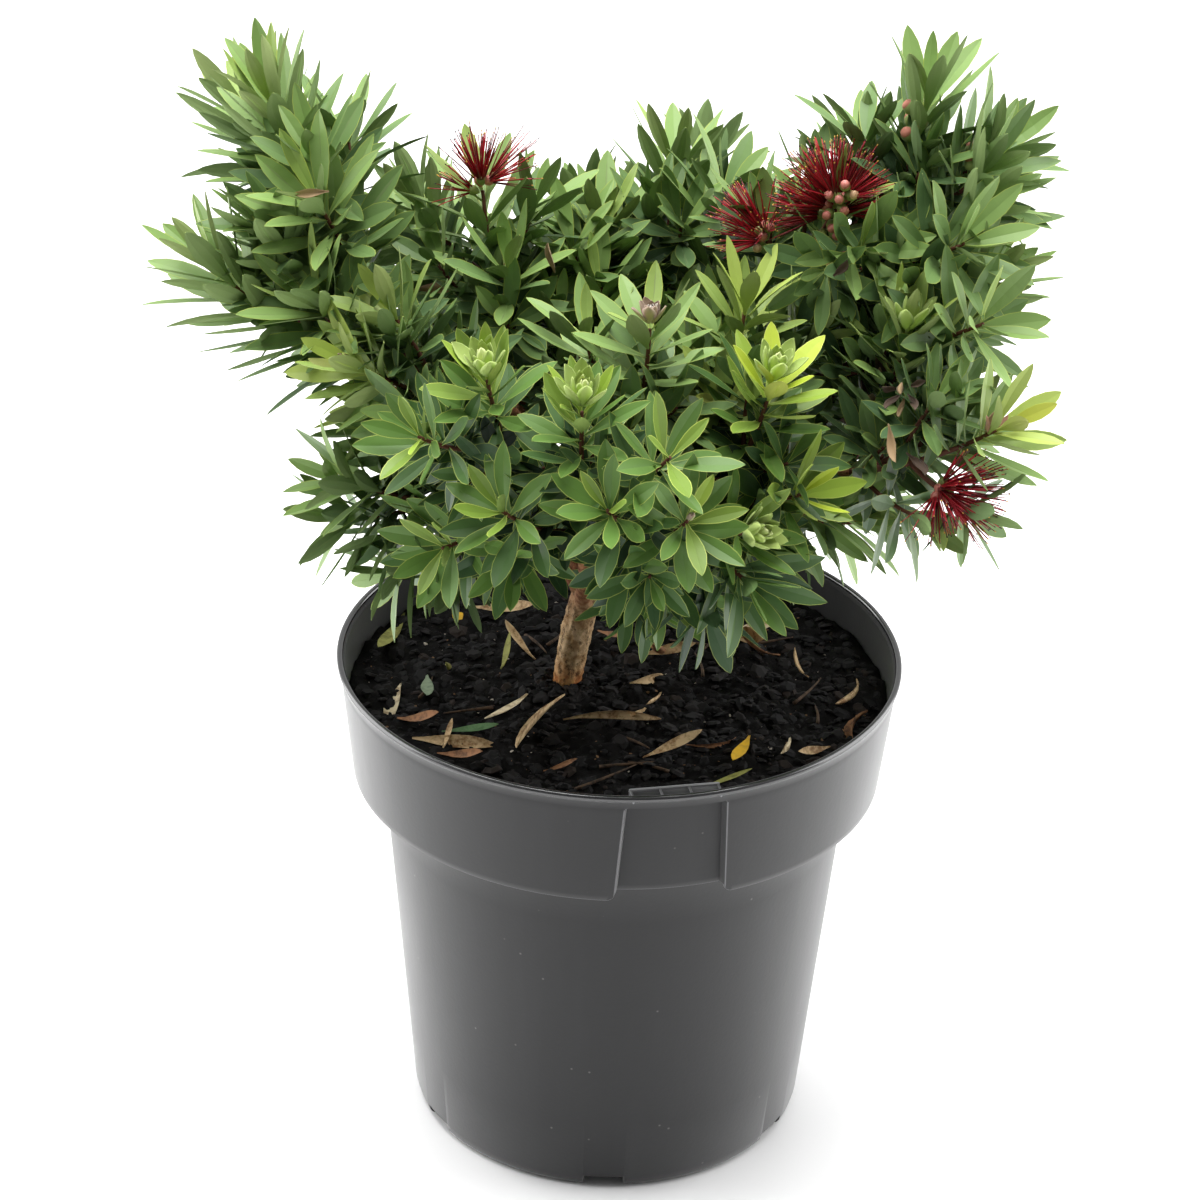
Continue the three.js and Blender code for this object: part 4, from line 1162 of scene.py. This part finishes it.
def make_hangings(masses):
    """Leaf buds, papery bracts, dead leaves and fruit."""
    batch = Batch(HANGING_FINISHES)
    random = random_source(HANGING_SEED)
    for mass, shoot, kind in LEAF_BUDS:
        add_bud(batch, masses[mass][shoot], kind, random)
    for mass, share, roll, lean, length, finish in BRACTS:
        place, way, normal = on_shoot(masses[mass][0], share, roll, lean)
        width, bend = BRACT_WIDTH * length + 1, lerp(*BRACT_BENDS, random())
        twist = lerp(-1, 1, random())
        made = blade(place, way, normal, length, width, 0, bend, BRACT_CUP, twist, DRY_THICKNESS)
        add_blades(batch, [made], batch.slot(finish))
    for foot, azimuth, rise, length, bend, finish in CAUGHT_LEAVES:
        way = direction(azimuth, rise)
        facing = unit(BRUSH_FRONT - way * np.dot(BRUSH_FRONT, way))
        normal = turned(facing, way, jitter(random, CAUGHT_ROLL))
        width, twist = CAUGHT_WIDTH * length + 1.2, jitter(random, CAUGHT_TWIST)
        made = blade(foot, way, normal, length, width, 0, bend, CAUGHT_CUP, twist, DRY_THICKNESS)
        add_blades(batch, [made], batch.slot(finish))
    for shoot, share, roll in FRUIT:
        add_fruit(batch, masses[FRUIT_MASS][shoot], share, roll)
    finishes = [plain(name, colour, 0.7, sheen=0.12) for name, colour in HANGING_FINISHES.items()]
    piece("buds_and_bracts", batch, finishes)


# ---- pot


def body_radius(height):
    return lerp(BODY_FOOT_RADIUS, BODY_TOP_RADIUS, height / LEDGE_HEIGHT)


def collar_radius(height):
    share = (height - COLLAR_FOOT_HEIGHT) / (POT_HEIGHT - COLLAR_FOOT_HEIGHT)
    return lerp(COLLAR_FOOT_RADIUS, COLLAR_TOP_RADIUS, share)


def recess_half_angle(height):
    """Half the recess's angle around the pot, in degrees."""
    share = (height - COLLAR_FOOT_HEIGHT) / (RECESS_TOP_HEIGHT - COLLAR_FOOT_HEIGHT)
    width = lerp(RECESS_FOOT_WIDTH, RECESS_TOP_WIDTH, min(1, max(0, share)))
    return degrees(asin(width / 2 / COLLAR_FOOT_RADIUS))


def collar_inside(height, deep):
    """Radius of the collar's inner side, where the recess is `deep`."""
    return collar_radius(height) - COLLAR_WALL - deep


RECESS_AZIMUTH = RECESS_TURN - 90
FOOT_HALF_ANGLE = recess_half_angle(0)
STEP_ANGLE = 0.4  # degrees that the recess's side walls take up
CORNER_ANGLES = (0.3, 0.7, 1.2, 1.8)  # columns that round the panels' lower corners
CORNER_RADIUS = 3.0
COLUMN_PITCH = 1.5  # degrees
POT_DUST = 0.5  # a dusty sheen, seen along the sides
DRAIN_PITCH = 360 / DRAIN_HOLES
DRAIN_HALF_ANGLE = degrees(DRAIN_WIDTH / 2 / BODY_FOOT_RADIUS)
FLOOR_MIDDLE = 24  # radius of the floor's innermost ring of corners
LOWEST_WALL = 8  # under this height, the body's inner side is upright
BEVEL = 0.3
OVER_RECESS = 2.5  # from this far over its top, the collar's inner side has no recess
BODY_HEIGHTS = (DRAIN_HEIGHT + BEVEL, 30, 60, 90, 120, LEDGE_HEIGHT - 0.6)
PANEL_SHARES = (0.06, 0.2, 0.4, 0.6, 0.8, 0.94)
BEAD_TURNS = range(-60, 241, 25)
INNER_HEIGHTS = (RECESS_TOP_HEIGHT + 1.4, 170, 160, LEDGE_HEIGHT + LEDGE_THICKNESS)
LIP_TO_BEAD = 12  # rows of corners between the collar's lip and the bead


def pot_columns():
    """Angles around the pot, in degrees from the recess's middle."""
    special = []
    for side in (-1, 1):
        edge = FOOT_HALF_ANGLE
        special += [side * (edge - 0.25), side * edge, side * (edge + STEP_ANGLE)]
        special += [side * (edge + STEP_ANGLE + extra) for extra in CORNER_ANGLES]
    for hole in range(DRAIN_HOLES):
        middle = (hole * DRAIN_PITCH - 90 - RECESS_AZIMUTH + 180) % 360 - 180
        for side in (-1, 1):
            special += [middle + side * DRAIN_HALF_ANGLE, middle + side * (DRAIN_HALF_ANGLE - 0.4)]
    even = np.arange(-180, 180, COLUMN_PITCH).tolist()
    kept = [a for a in even if all(abs(a - b) > 0.5 for b in special)]
    return sorted(kept + special)


def column_azimuth(angle, height):
    """Columns follow the slanting sides of the recess."""
    here = recess_half_angle(height)
    if abs(angle) <= FOOT_HALF_ANGLE:
        moved = angle * here / FOOT_HALF_ANGLE
    else:
        beyond = (abs(angle) - FOOT_HALF_ANGLE) / (180 - FOOT_HALF_ANGLE)
        moved = copysign(lerp(here, 180, beyond), angle)
    return RECESS_AZIMUTH + moved


def in_recess(angle):
    return abs(angle) <= FOOT_HALF_ANGLE + 1e-6


def collar_foot(angle):
    """Height of the collar's lower edge, with the panels' corners rounded."""
    if in_recess(angle):
        return COLLAR_FOOT_HEIGHT + RECESS_DEPTH
    away = radians(abs(angle) - FOOT_HALF_ANGLE - STEP_ANGLE) * COLLAR_FOOT_RADIUS
    if away >= CORNER_RADIUS:
        return COLLAR_FOOT_HEIGHT
    short = CORNER_RADIUS - away
    return COLLAR_FOOT_HEIGHT + CORNER_RADIUS - sqrt(CORNER_RADIUS**2 - short**2)


def in_drain(angle):
    turn = (angle + RECESS_AZIMUTH + 90) % DRAIN_PITCH
    return min(turn, DRAIN_PITCH - turn) < DRAIN_HALF_ANGLE - 0.2


def pot_profile(angle):
    """(radius, height) pairs of one column, from under the floor round to its top, and
    the number of the pair at the collar's lower lip."""
    deep = RECESS_DEPTH if in_recess(angle) else 0
    drain = DRAIN_HEIGHT if in_drain(angle) else 0.0
    inner_foot = BODY_FOOT_RADIUS - DRAIN_REACH
    rows = [(FLOOR_MIDDLE, 0.0), (inner_foot, 0.0), (inner_foot, drain)]
    for turn in (0, 22.5, 45, 67.5, 90):
        radius = BODY_FOOT_RADIUS - FOOT_ROUND * (1 - sin(radians(turn)))
        height = FOOT_ROUND * (1 - cos(radians(turn)))
        rows.append((radius, max(height, drain)))
    rows += [(body_radius(h), h) for h in BODY_HEIGHTS]
    # Under the ledge, down the collar's inner side, and round its lower lip.
    lower = min(collar_foot(angle), LEDGE_HEIGHT - 0.4)
    ledge_end, inner = collar_inside(LEDGE_HEIGHT, deep), collar_inside(lower, deep)
    outer = collar_radius(lower) - deep
    lip = len(rows) + 6
    rows += [
        (BODY_TOP_RADIUS + 0.4, LEDGE_HEIGHT - 0.1), (BODY_TOP_RADIUS + 1.2, LEDGE_HEIGHT),
        (ledge_end - 0.4, LEDGE_HEIGHT), (ledge_end, LEDGE_HEIGHT - 0.2), (inner, lower + 0.2),
        (inner + 0.25, lower), (outer - BEVEL, lower), (outer, lower + BEVEL),
    ]
    for share in PANEL_SHARES:
        height = lerp(lower, RECESS_TOP_HEIGHT, share)
        rows.append((collar_radius(height) - deep, height))
    # Over the recess's top, and round the rim's bead.
    bead = RIM_BEAD / 2
    across, up = RIM_RADIUS - bead, POT_HEIGHT - bead
    rows += [
        (collar_radius(RECESS_TOP_HEIGHT) - deep, RECESS_TOP_HEIGHT - BEVEL),
        (collar_radius(RECESS_TOP_HEIGHT) - 0.4 * deep, RECESS_TOP_HEIGHT),
        (collar_radius(RECESS_TOP_HEIGHT + BEVEL), RECESS_TOP_HEIGHT + BEVEL),
        (collar_radius(up), up - bead - BEVEL),
    ]
    rows += [(across + x, up + y) for x, y in (polar(bead, turn) for turn in BEAD_TURNS)]
    # Down the inner side to the floor.
    over = RECESS_TOP_HEIGHT + OVER_RECESS
    rows.append((collar_inside(over, 0), over))
    rows += [(collar_inside(h, deep), h) for h in INNER_HEIGHTS]
    rows.append((BODY_TOP_RADIUS - BODY_WALL, LEDGE_HEIGHT + LEDGE_THICKNESS))
    rows += [(body_radius(h) - BODY_WALL, h) for h in (90, 40)]
    floor_top = drain + FLOOR_THICKNESS
    wall_foot, step = body_radius(0) - BODY_WALL, inner_foot - FLOOR_THICKNESS
    rows += [(wall_foot, max(floor_top, LOWEST_WALL)), (wall_foot, floor_top), (step, floor_top)]
    rows += [(step, FLOOR_THICKNESS), (FLOOR_MIDDLE, FLOOR_THICKNESS)]
    return rows, lip


def on_panel_edge(angle, row):
    """True for the thin strip along a side panel's edge, beside the recess."""
    strip = FOOT_HALF_ANGLE + STEP_ANGLE
    ahead = angle if angle > 0 else -angle - CORNER_ANGLES[0]
    return 0 < row < len(PANEL_SHARES) + 2 and abs(ahead - strip) < 0.01


def pot_finish(angle, row):
    """The finish of a face, whose row is counted from the collar's lower lip."""
    if LIP_TO_BEAD <= row < LIP_TO_BEAD + len(BEAD_TURNS) - 1:
        return "rim"
    # Edge faces take the lighter grey of a painted highlight.
    return "edge" if row == 0 or on_panel_edge(angle, row) else "body"


def make_pot(finish):
    columns = pot_columns()
    profiles, lips = zip(*[pot_profile(angle) for angle in columns])
    rows, lip = len(profiles[0]), lips[0]
    points = []
    for row in range(rows):
        for angle, profile in zip(columns, profiles):
            radius, height = profile[row]
            points.append((*polar(radius, column_azimuth(angle, height)), height))
    faces = ring_faces(len(columns), rows - 1)
    places = [divmod(index, len(columns)) for index in range(len(faces))]
    # The moulded edges and the label rail are painted a lighter grey, a painted highlight for the
    # light that they catch; the rim's bead is worn smooth.
    finishes = {"body": finish, "edge": plain("pot_edge_painted_highlight", "606062", 0.4),
                "rim": plain("pot_rim", "2c2c2d", 0.14, specular=0.9),
                "rail": plain("pot_rail_painted_highlight", "8e8e90", 0.4)}
    batch = Batch(finishes)
    slots = [batch.slot(pot_finish(columns[column], row - lip)) for row, column in places]
    batch.add(points, faces, slots)
    add_label_rail(batch)
    made = piece("pot_shell", batch, finishes.values(), ["pot"])
    edges = made.modifiers.new("edges", "EDGE_SPLIT")
    edges.split_angle = radians(38)


def add_label_rail(batch):
    """A strip just inside the rim that holds a plant label, on short ribs."""
    width, thickness, tall, gap, ribs, below, shelf_drop, shelf_thickness = LABEL_RAIL.values()
    strip = RIM_RADIUS - RIM_BEAD - gap - thickness
    height = POT_HEIGHT - tall / 2 - below
    depth = gap + 2 * thickness
    # The strip and its ribs take a lighter grey than the pot's plastic, a painted highlight; the
    # shelf keeps the pot's own finish.
    add_block(batch, (0, -strip, height), (width, thickness, tall), "rail")
    shelf = (0, -strip - gap / 2, POT_HEIGHT - below - shelf_drop)
    add_block(batch, shelf, (width, depth, shelf_thickness), "body")
    for i in range(ribs + 1):
        place = ((i / ribs - 0.5) * (width - thickness), -strip - depth / 2, height + 0.1)
        add_block(batch, place, (thickness * 0.7, depth, tall - 0.6), "rail")


def add_block(batch, place, size, finish, edge=0.25):
    """A box with chamfered edges, turned to the recess's side of the pot."""
    half = [d / 2 for d in size]
    turn = radians(RECESS_TURN)
    points = []
    for inset, z in ((edge, -half[2]), (0, edge - half[2]), (0, half[2] - edge), (edge, half[2])):
        x, y = half[0] - inset, half[1] - inset
        right = [(x - edge, -y), (x, edge - y), (x, y - edge), (x - edge, y)]
        for x, y in right + [(-x, y) for x, y in reversed(right)]:
            x, y = x + place[0], y + place[1]
            points.append((x * cos(turn) - y * sin(turn),
                           x * sin(turn) + y * cos(turn), z + place[2]))
    batch.add(points, ring_faces(8, 3), batch.slot(finish))


# ---- potting mix and litter

MIX_GAP = 0.4  # between the mix and the pot's inner wall
MIX_COLUMNS = 220
MIX_RINGS = 64
MIX_DEPTH = 12  # of the piece, under the mix's edge
MIX_RADIUS = 96
MIX_INNERMOST = 0.985  # how far inwards the rings of corners reach
MIX_DROP = 0.6  # how far the lumpy surface lies under the plain one
MIX_STEP = (2.5, 2)  # degrees from the recess's side where the edge steps in, and its width
MIX_LUMPS = ((1.6, 18), (1.5, 6), (0.8, 2.2))  # heights and sizes
HEAP_HEIGHT, HEAP_RADIUS = 3.2, 13  # round the trunk


def mix_edge(azimuth):
    """How far the mix reaches towards the pot's wall."""
    wall = collar_radius(MIX_EDGE_HEIGHT) - COLLAR_WALL - MIX_GAP
    away = abs((azimuth - RECESS_AZIMUTH + 180) % 360 - 180)
    inside = recess_half_angle(MIX_EDGE_HEIGHT)
    start, width = MIX_STEP
    step = min(1, max(0, (inside + start - away) / width))
    return wall - RECESS_DEPTH * step


def mix_height(x, y):
    slope = max(0, hypot(x, y) - MIX_FLAT_RADIUS) / (MIX_RADIUS - MIX_FLAT_RADIUS)
    base = lerp(MIX_TOP_HEIGHT - MIX_DROP, MIX_EDGE_HEIGHT - MIX_DROP, slope)
    lumps = sum(height * relief((x, y, 0.0), size) for height, size in MIX_LUMPS)
    from_trunk = hypot(x - TRUNK_FOOT[0], y - TRUNK_FOOT[1])
    return base + lumps + HEAP_HEIGHT * exp(-(from_trunk / HEAP_RADIUS) ** 2)


def over_mix(x, y, lift=0.0):
    """A point on the potting mix or above it."""
    return np.array([x, y, mix_height(x, y) + lift])


def make_mix(finish):
    points = []
    for ring in range(MIX_RINGS + 1):
        share = 1 - MIX_INNERMOST * ring / MIX_RINGS
        for column in range(MIX_COLUMNS):
            azimuth = 360 * column / MIX_COLUMNS
            points.append(over_mix(*polar(mix_edge(azimuth) * share, azimuth)))
    bottom = [(x, y, MIX_EDGE_HEIGHT - MIX_DEPTH) for x, y, _ in points[:MIX_COLUMNS]]
    batch = Batch()
    batch.add(bottom + points, ring_faces(MIX_COLUMNS, MIX_RINGS + 1))
    piece("mix_surface", batch, [finish], ["potting_mix"])


def anywhere_on_mix(random):
    """A place on the potting mix, evenly dealt."""
    reach = CRUMB_REACH * sqrt(random())
    return over_mix(*polar(reach, 360 * random()))


# Sizes of chips and of grains: the least, the span, and a power that favours small ones.
CHIPS, GRAINS = (0.5, 3.0, 3), (0.2, 0.6, 2)
CRUMBS = [("mix_crumb_black", "090808", 2300, CHIPS), ("mix_crumb_dark", "161312", 1500, CHIPS),
          ("mix_crumb_brown", "251c16", 260, CHIPS), ("mix_crumb_tan", "75593e", 260, GRAINS),
          ("mix_crumb_pale", "b8b0a2", 150, GRAINS)]
CRUMB_REACH = 92
CHIPS_ROUND_TRUNK = 130
TRUNK_FOOT_REACH = 6.2
STONES = [(-15, -14, 3.6), (-8, -34, 4.2), (28, -15, 4.4), (-30, 20, 3.4), (50, 8, 3.8)]
CHIP_SIDES = 6
CHIP_LEVELS = ((-0.35, 0.75), (0.0, 1.0), (0.35, 0.6))  # height and reach against its size


def make_crumbs():
    """Bits of composted bark: small angular chips half sunk in the mix."""
    batch = Batch()
    random = random_source(CRUMB_SEED)
    for slot, (_, _, count, (least, span, power)) in enumerate(CRUMBS):
        for _ in range(count):
            size = least + span * random() ** power
            add_chip(batch, anywhere_on_mix(random), size, random, slot)
    for _ in range(CHIPS_ROUND_TRUNK):
        way = direction(360 * random(), 0) * (TRUNK_FOOT_REACH + 5 * random() - 1)
        place = over_mix(TRUNK_FOOT[0] + way[0], TRUNK_FOOT[1] + way[1], 0.6 + 0.9 * random())
        add_chip(batch, place, 0.8 + 1.4 * random(), random, int(2.3 * random()))
    for x, y, size in STONES:
        add_chip(batch, over_mix(x, y, 0.3), size, random, 1)
    materials = [plain(name, colour, 0.75, specular=0.26) for name, colour, *_ in CRUMBS]
    piece("mix_crumbs", batch, materials, smooth=False)


def add_chip(batch, place, size, random, slot):
    """A flat six-sided flake with a shifted top and a random tilt."""
    stretch = 0.55 + 0.9 * random()
    tilt = unit(np.array([random() - 0.5, random() - 0.5, 0.9]))
    right = unit(np.cross(tilt, [random() - 0.5, 1, 0]))
    ahead = np.cross(tilt, right)
    points = []
    for level, grow in CHIP_LEVELS:
        for k in range(CHIP_SIDES):
            angle = 2 * pi * (k + 0.4 * random()) / CHIP_SIDES
            reach = size * grow * (0.75 + 0.5 * random())
            flat = right * cos(angle) * reach + ahead * sin(angle) * reach * stretch
            points.append(place + flat + tilt * level * size * 0.8)
    batch.add(points, ring_faces(CHIP_SIDES, 2), slot)


# Fallen leaves' colours: ground and blotches.
LITTER_FINISHES = {
    "tan": ("dcbf92", "9a7550"),
    "brown": ("a3744f", "6a4c36"),
    "yellow": ("e3b41c", "c99a22"),
    "olive": ("9a9a52", "75743c"),
    "green": ("64885a", "4f7048"),
    "grey": ("8b9c80", "6f8068"),
    "pale": ("e6d6b2", "a08a66"),
    "red": ("d32a2a", "a81c22"),
    "twig": ("5c4836", "33271d"),
}

# Fallen leaves: foot (x, y), azimuth, length, finish, bend along, curl across, roll.
LITTER = [
    (-79, 52, -97, 42, "olive", 0.3, 0.2, 20), (-61, 46, -64, 9, "yellow", 0.2, 0.2, 10),
    (-77, -3, -101, 26, "pale", -0.3, 0.25, 30), (-68, -1, -86, 20, "grey", 0.2, 0.1, 15),
    (-62, 9, -58, 16, "olive", 1.4, 0.5, 40), (-42, 4, 66, 17, "olive", 0.9, 0.5, -30),
    (-77, -30, -28, 20, "brown", 0.8, 0.6, 10), (-61, -38, 3, 20, "green", 0.2, 0.1, 5),
    (-32, -15, -112, 36, "pale", 0.35, 0.25, 8), (-71, -43, -12, 30, "tan", -0.3, 0.5, 60),
    (-62, -52, -18, 22, "brown", 0.9, 0.6, 40), (-60, -50, 70, 14, "tan", 0.6, 0.5, -30),
    (-19, -18, -117, 39, "tan", -0.2, 0.6, 35), (-19, -30, 24, 38, "tan", 1.3, 0.7, 78),
    (4, -4, 20, 16, "tan", -0.8, 0.7, 60), (16, 23, -86, 22, "brown", 1.2, 0.5, 30),
    (15, -8, -99, 18, "tan", 0.5, 0.5, 30), (10, -20, -112, 15, "tan", 0.4, 0.4, 0),
    (9, -53, 32, 24, "tan", 0.3, 0.4, 10), (24, -44, -17, 22, "brown", -1.6, 0.9, 80),
    (46, -36, -103, 26, "yellow", 0.25, 0.25, 12), (30, -68, 22, 18, "olive", 0.3, 0.2, 0),
    (60, -36, -86, 19, "pale", 0.6, 0.9, 55), (74, -40, -138, 18, "tan", 0.5, 0.6, -20),
    (85, 9, -80, 30, "tan", 1.0, 0.9, 75), (88, -14, -132, 26, "brown", -1.2, 0.9, 60),
    (-8, 33, -44, 20, "brown", 0.7, 0.5, 20), (24, 44, -50, 34, "tan", 1.5, 1.1, 70),
    (30, 52, 175, 26, "brown", -1.4, 1.0, 60), (58, 46, -160, 34, "pale", 1.4, 1.1, -65),
    (36, 36, -20, 26, "tan", 1.0, 0.8, 60), (-54, 52, -18, 26, "tan", 0.5, 0.5, 20),
    (58, 24, 200, 20, "brown", 1.2, 0.6, 20), (-12, 60, 10, 24, "brown", 0.8, 0.5, 0),
    (68, 10, 150, 13, "tan", 1.6, 0.6, 20), (-25, -60, 14, 13, "brown", 0.9, 0.6, 30),
    (50, 64, 220, 22, "tan", 0.8, 0.6, 30), (2, 78, -30, 25, "tan", 0.5, 0.5, 10),
    (37, 46, 30, 5, "red", 1.0, 0.4, 0), (36, 48, 130, 4, "red", 1.2, 0.5, 0),
    (47, 42, 60, 5, "red", 1.0, 0.4, 0), (46, 44, 160, 4, "red", 1.2, 0.5, 0),
    (-30, 12, 130, 22, "tan", 0.5, 0.5, 30), (8, 16, 15, 20, "tan", 0.4, 0.6, 40),
]
FALLEN_WIDTHS = (0.14, 0.25)  # least and greatest width against length
PETAL_LENGTH = 12  # shorter ones are petals
PETAL_WIDTH = 0.45
EDGE_ON = 70  # leaves rolled further than this are curled up
CURLED_WIDTH = 0.1
FALLEN_RISE = 3  # degrees
FALLEN_LIFT = 1.0  # over the mix, and more on its edge, against its width:
EDGE_LIFT = 0.25
FALLEN_TWIST = 1.2
FALLEN_THICKNESS = 0.4
FALLEN_TWIG_RADII = (0.7, 0.25)
FALLEN_TWIG_FINENESS = (6, 10)
FALLEN_TWIG_LIFT = 0.6
FALLEN_TWIG_RISE = 2  # degrees
FALLEN_TWIG_BOW = np.array([1.5, -1.5, 1.2])
# Bits of twig: foot (x, y), azimuth, length.
TWIGS_ON_MIX = [
    (-14, -73, 38, 27), (30, 6, 100, 16), (-44, -22, 200, 18), (62, -12, 60, 20), (40, 26, 170, 22),
    (46, 30, 20, 18), (34, 34, 250, 14), (52, 22, 130, 16), (-6, -58, 10, 22), (18, -60, 160, 15),
    (-34, 30, 300, 16), (-26, 24, 60, 14), (70, -24, 95, 14), (-70, -14, 75, 15), (2, -40, 320, 12),
]


def fallen_finish(name, ground, blotch):
    """A dry or fading leaf with irregular blotches."""
    made = Pattern(name, 0.7, 0.3)
    patches = made.between(made.noise(3.5, 5.0, 0.7), 0.46, 0.62)
    return made.finish(made.mixed(patches, ground, blotch))


def twig_radius(share):
    return lerp(*FALLEN_TWIG_RADII, share)


def make_litter():
    """Fallen leaves and bits of twig that lie on the mix."""
    batch = Batch(LITTER_FINISHES)
    random = random_source(LITTER_SEED)
    for x, y, azimuth, length, finish, bend, curl, roll in LITTER:
        way = direction(azimuth, FALLEN_RISE)
        normal = turned(unit(UP - way * way[2]), way, roll)
        petal, edge_on = length < PETAL_LENGTH, abs(roll) > EDGE_ON
        slim = PETAL_WIDTH if petal else CURLED_WIDTH if edge_on else lerp(*FALLEN_WIDTHS, random())
        width = length * slim
        lift = FALLEN_LIFT + EDGE_LIFT * width * abs(sin(radians(roll)))
        place = over_mix(x, y, lift)
        twist = jitter(random, FALLEN_TWIST)
        made = blade(place, way, normal, length, width, 0, bend, curl, twist, FALLEN_THICKNESS)
        add_blades(batch, [made], batch.slot(finish))
    for x, y, azimuth, length in TWIGS_ON_MIX:
        start = over_mix(x, y, FALLEN_TWIG_LIFT)
        end = start + direction(azimuth, FALLEN_TWIG_RISE) * length
        bend = lerp(start, end, 0.5) + FALLEN_TWIG_BOW
        twig = Bezier(start, bend, end)
        tube(batch, twig, twig_radius, *FALLEN_TWIG_FINENESS, slot=batch.slot("twig"))
    finishes = [fallen_finish(f"fallen_{name}", *pair) for name, pair in LITTER_FINISHES.items()]
    piece("fallen_leaves", batch, finishes)


# ---- stage


# The room is bright at the back and the sides, and darker where the camera stands.
ROOM_FRONT = 0.13
ROOM_BACK = 0.85
ROOM_FADE = (0.1, 0.6)  # where the light changes, from 0 at the front to 1
FLOOR_HALF = 3.0  # metres, as are the lamps' places and sizes
LAMPS = [("top", (-0.1, 0.25, 1.9), 1.6, 62), ("left", (-1.3, 0.35, 0.6), 1.3, 20),
         ("right", (1.3, 0.35, 0.6), 1.3, 20)]
LAMP_AIM = Vector((0, 0, 0.2))


def make_floor():
    mesh = bpy.data.meshes.new("floor")
    corners = [(FLOOR_HALF * x, FLOOR_HALF * y, 0) for x, y in ((-1, -1), (1, -1), (1, 1), (-1, 1))]
    mesh.from_pydata(corners, [], [(0, 1, 2, 3)])
    mesh.materials.append(plain("floor", "f4f4f4", 0.8, specular=0.2))
    link_to_scene("floor", mesh)


def make_room():
    world = bpy.data.worlds.new("studio")
    world.use_nodes = True
    tree = world.node_tree
    place = add_node(tree, "ShaderNodeTexCoord")
    turn = add_node(tree, "ShaderNodeMapping", Scale=(0.5, 0.5, 0.5), Location=(0.5, 0, 0),
                    Rotation=(0, 0, radians(-90)))
    shade = add_node(tree, "ShaderNodeTexGradient")
    ramp = add_node(tree, "ShaderNodeValToRGB")
    for stop, level, position in zip(ramp.color_ramp.elements, (ROOM_FRONT, ROOM_BACK), ROOM_FADE):
        stop.color = (level, level, level, 1)
        stop.position = position
    background = tree.nodes["Background"]
    tree.links.new(place.outputs["Generated"], turn.inputs["Vector"])
    tree.links.new(turn.outputs["Vector"], shade.inputs["Vector"])
    tree.links.new(shade.outputs["Color"], ramp.inputs["Fac"])
    tree.links.new(ramp.outputs["Color"], background.inputs["Color"])
    set_inputs(background, {"Strength": 1.0})
    bpy.context.scene.world = world
    bpy.context.scene.view_settings.view_transform = "Standard"


def make_lamps():
    for name, place, size, watts in LAMPS:
        light = bpy.data.lights.new(name, "AREA")
        light.size = size
        light.energy = watts
        lamp = link_to_scene(name, light)
        lamp.location = place
        lamp.rotation_euler = (LAMP_AIM - Vector(place)).to_track_quat("-Z", "Y").to_euler()


# Camera: where it stands round the pot's rim, and how it is turned.
CAMERA_ELEVATION = 28.55
CAMERA_ROLL = 1.72
CAMERA_DISTANCE = 1494.5
CAMERA_SLIDE = (-6.9, 18.04)  # across the view, from the middle of the rim
CAMERA_LENS = 126.74
CAMERA_SENSOR = 36


def make_camera():
    tilt, roll = radians(CAMERA_ELEVATION), radians(CAMERA_ROLL)
    back = np.array([0, -cos(tilt), sin(tilt)])
    level, above = np.array([1.0, 0, 0]), np.array([0, sin(tilt), cos(tilt)])
    right = level * cos(roll) + above * sin(roll)
    top = above * cos(roll) - level * sin(roll)
    place = np.array([0, 0, POT_HEIGHT]) + back * CAMERA_DISTANCE
    place = place + right * CAMERA_SLIDE[0] + top * CAMERA_SLIDE[1]
    camera = bpy.data.cameras.new("camera")
    camera.lens = CAMERA_LENS
    camera.sensor_width = CAMERA_SENSOR
    basis = Matrix([right, top, back]).transposed().to_4x4()
    basis.translation = Vector(place) * MM
    view = link_to_scene("camera", camera)
    view.matrix_world = basis
    bpy.context.scene.camera = view


# ---- assembly

make_camera()
make_floor()
make_room()
make_lamps()
limbs, masses = grow()
make_bark(limbs, bark_finish())
make_stems(masses)
make_leaves(masses)
make_blossoms(masses)
make_hangings(masses)
make_pot(pot_plastic())
make_mix(mix_finish())
make_crumbs()
make_litter()
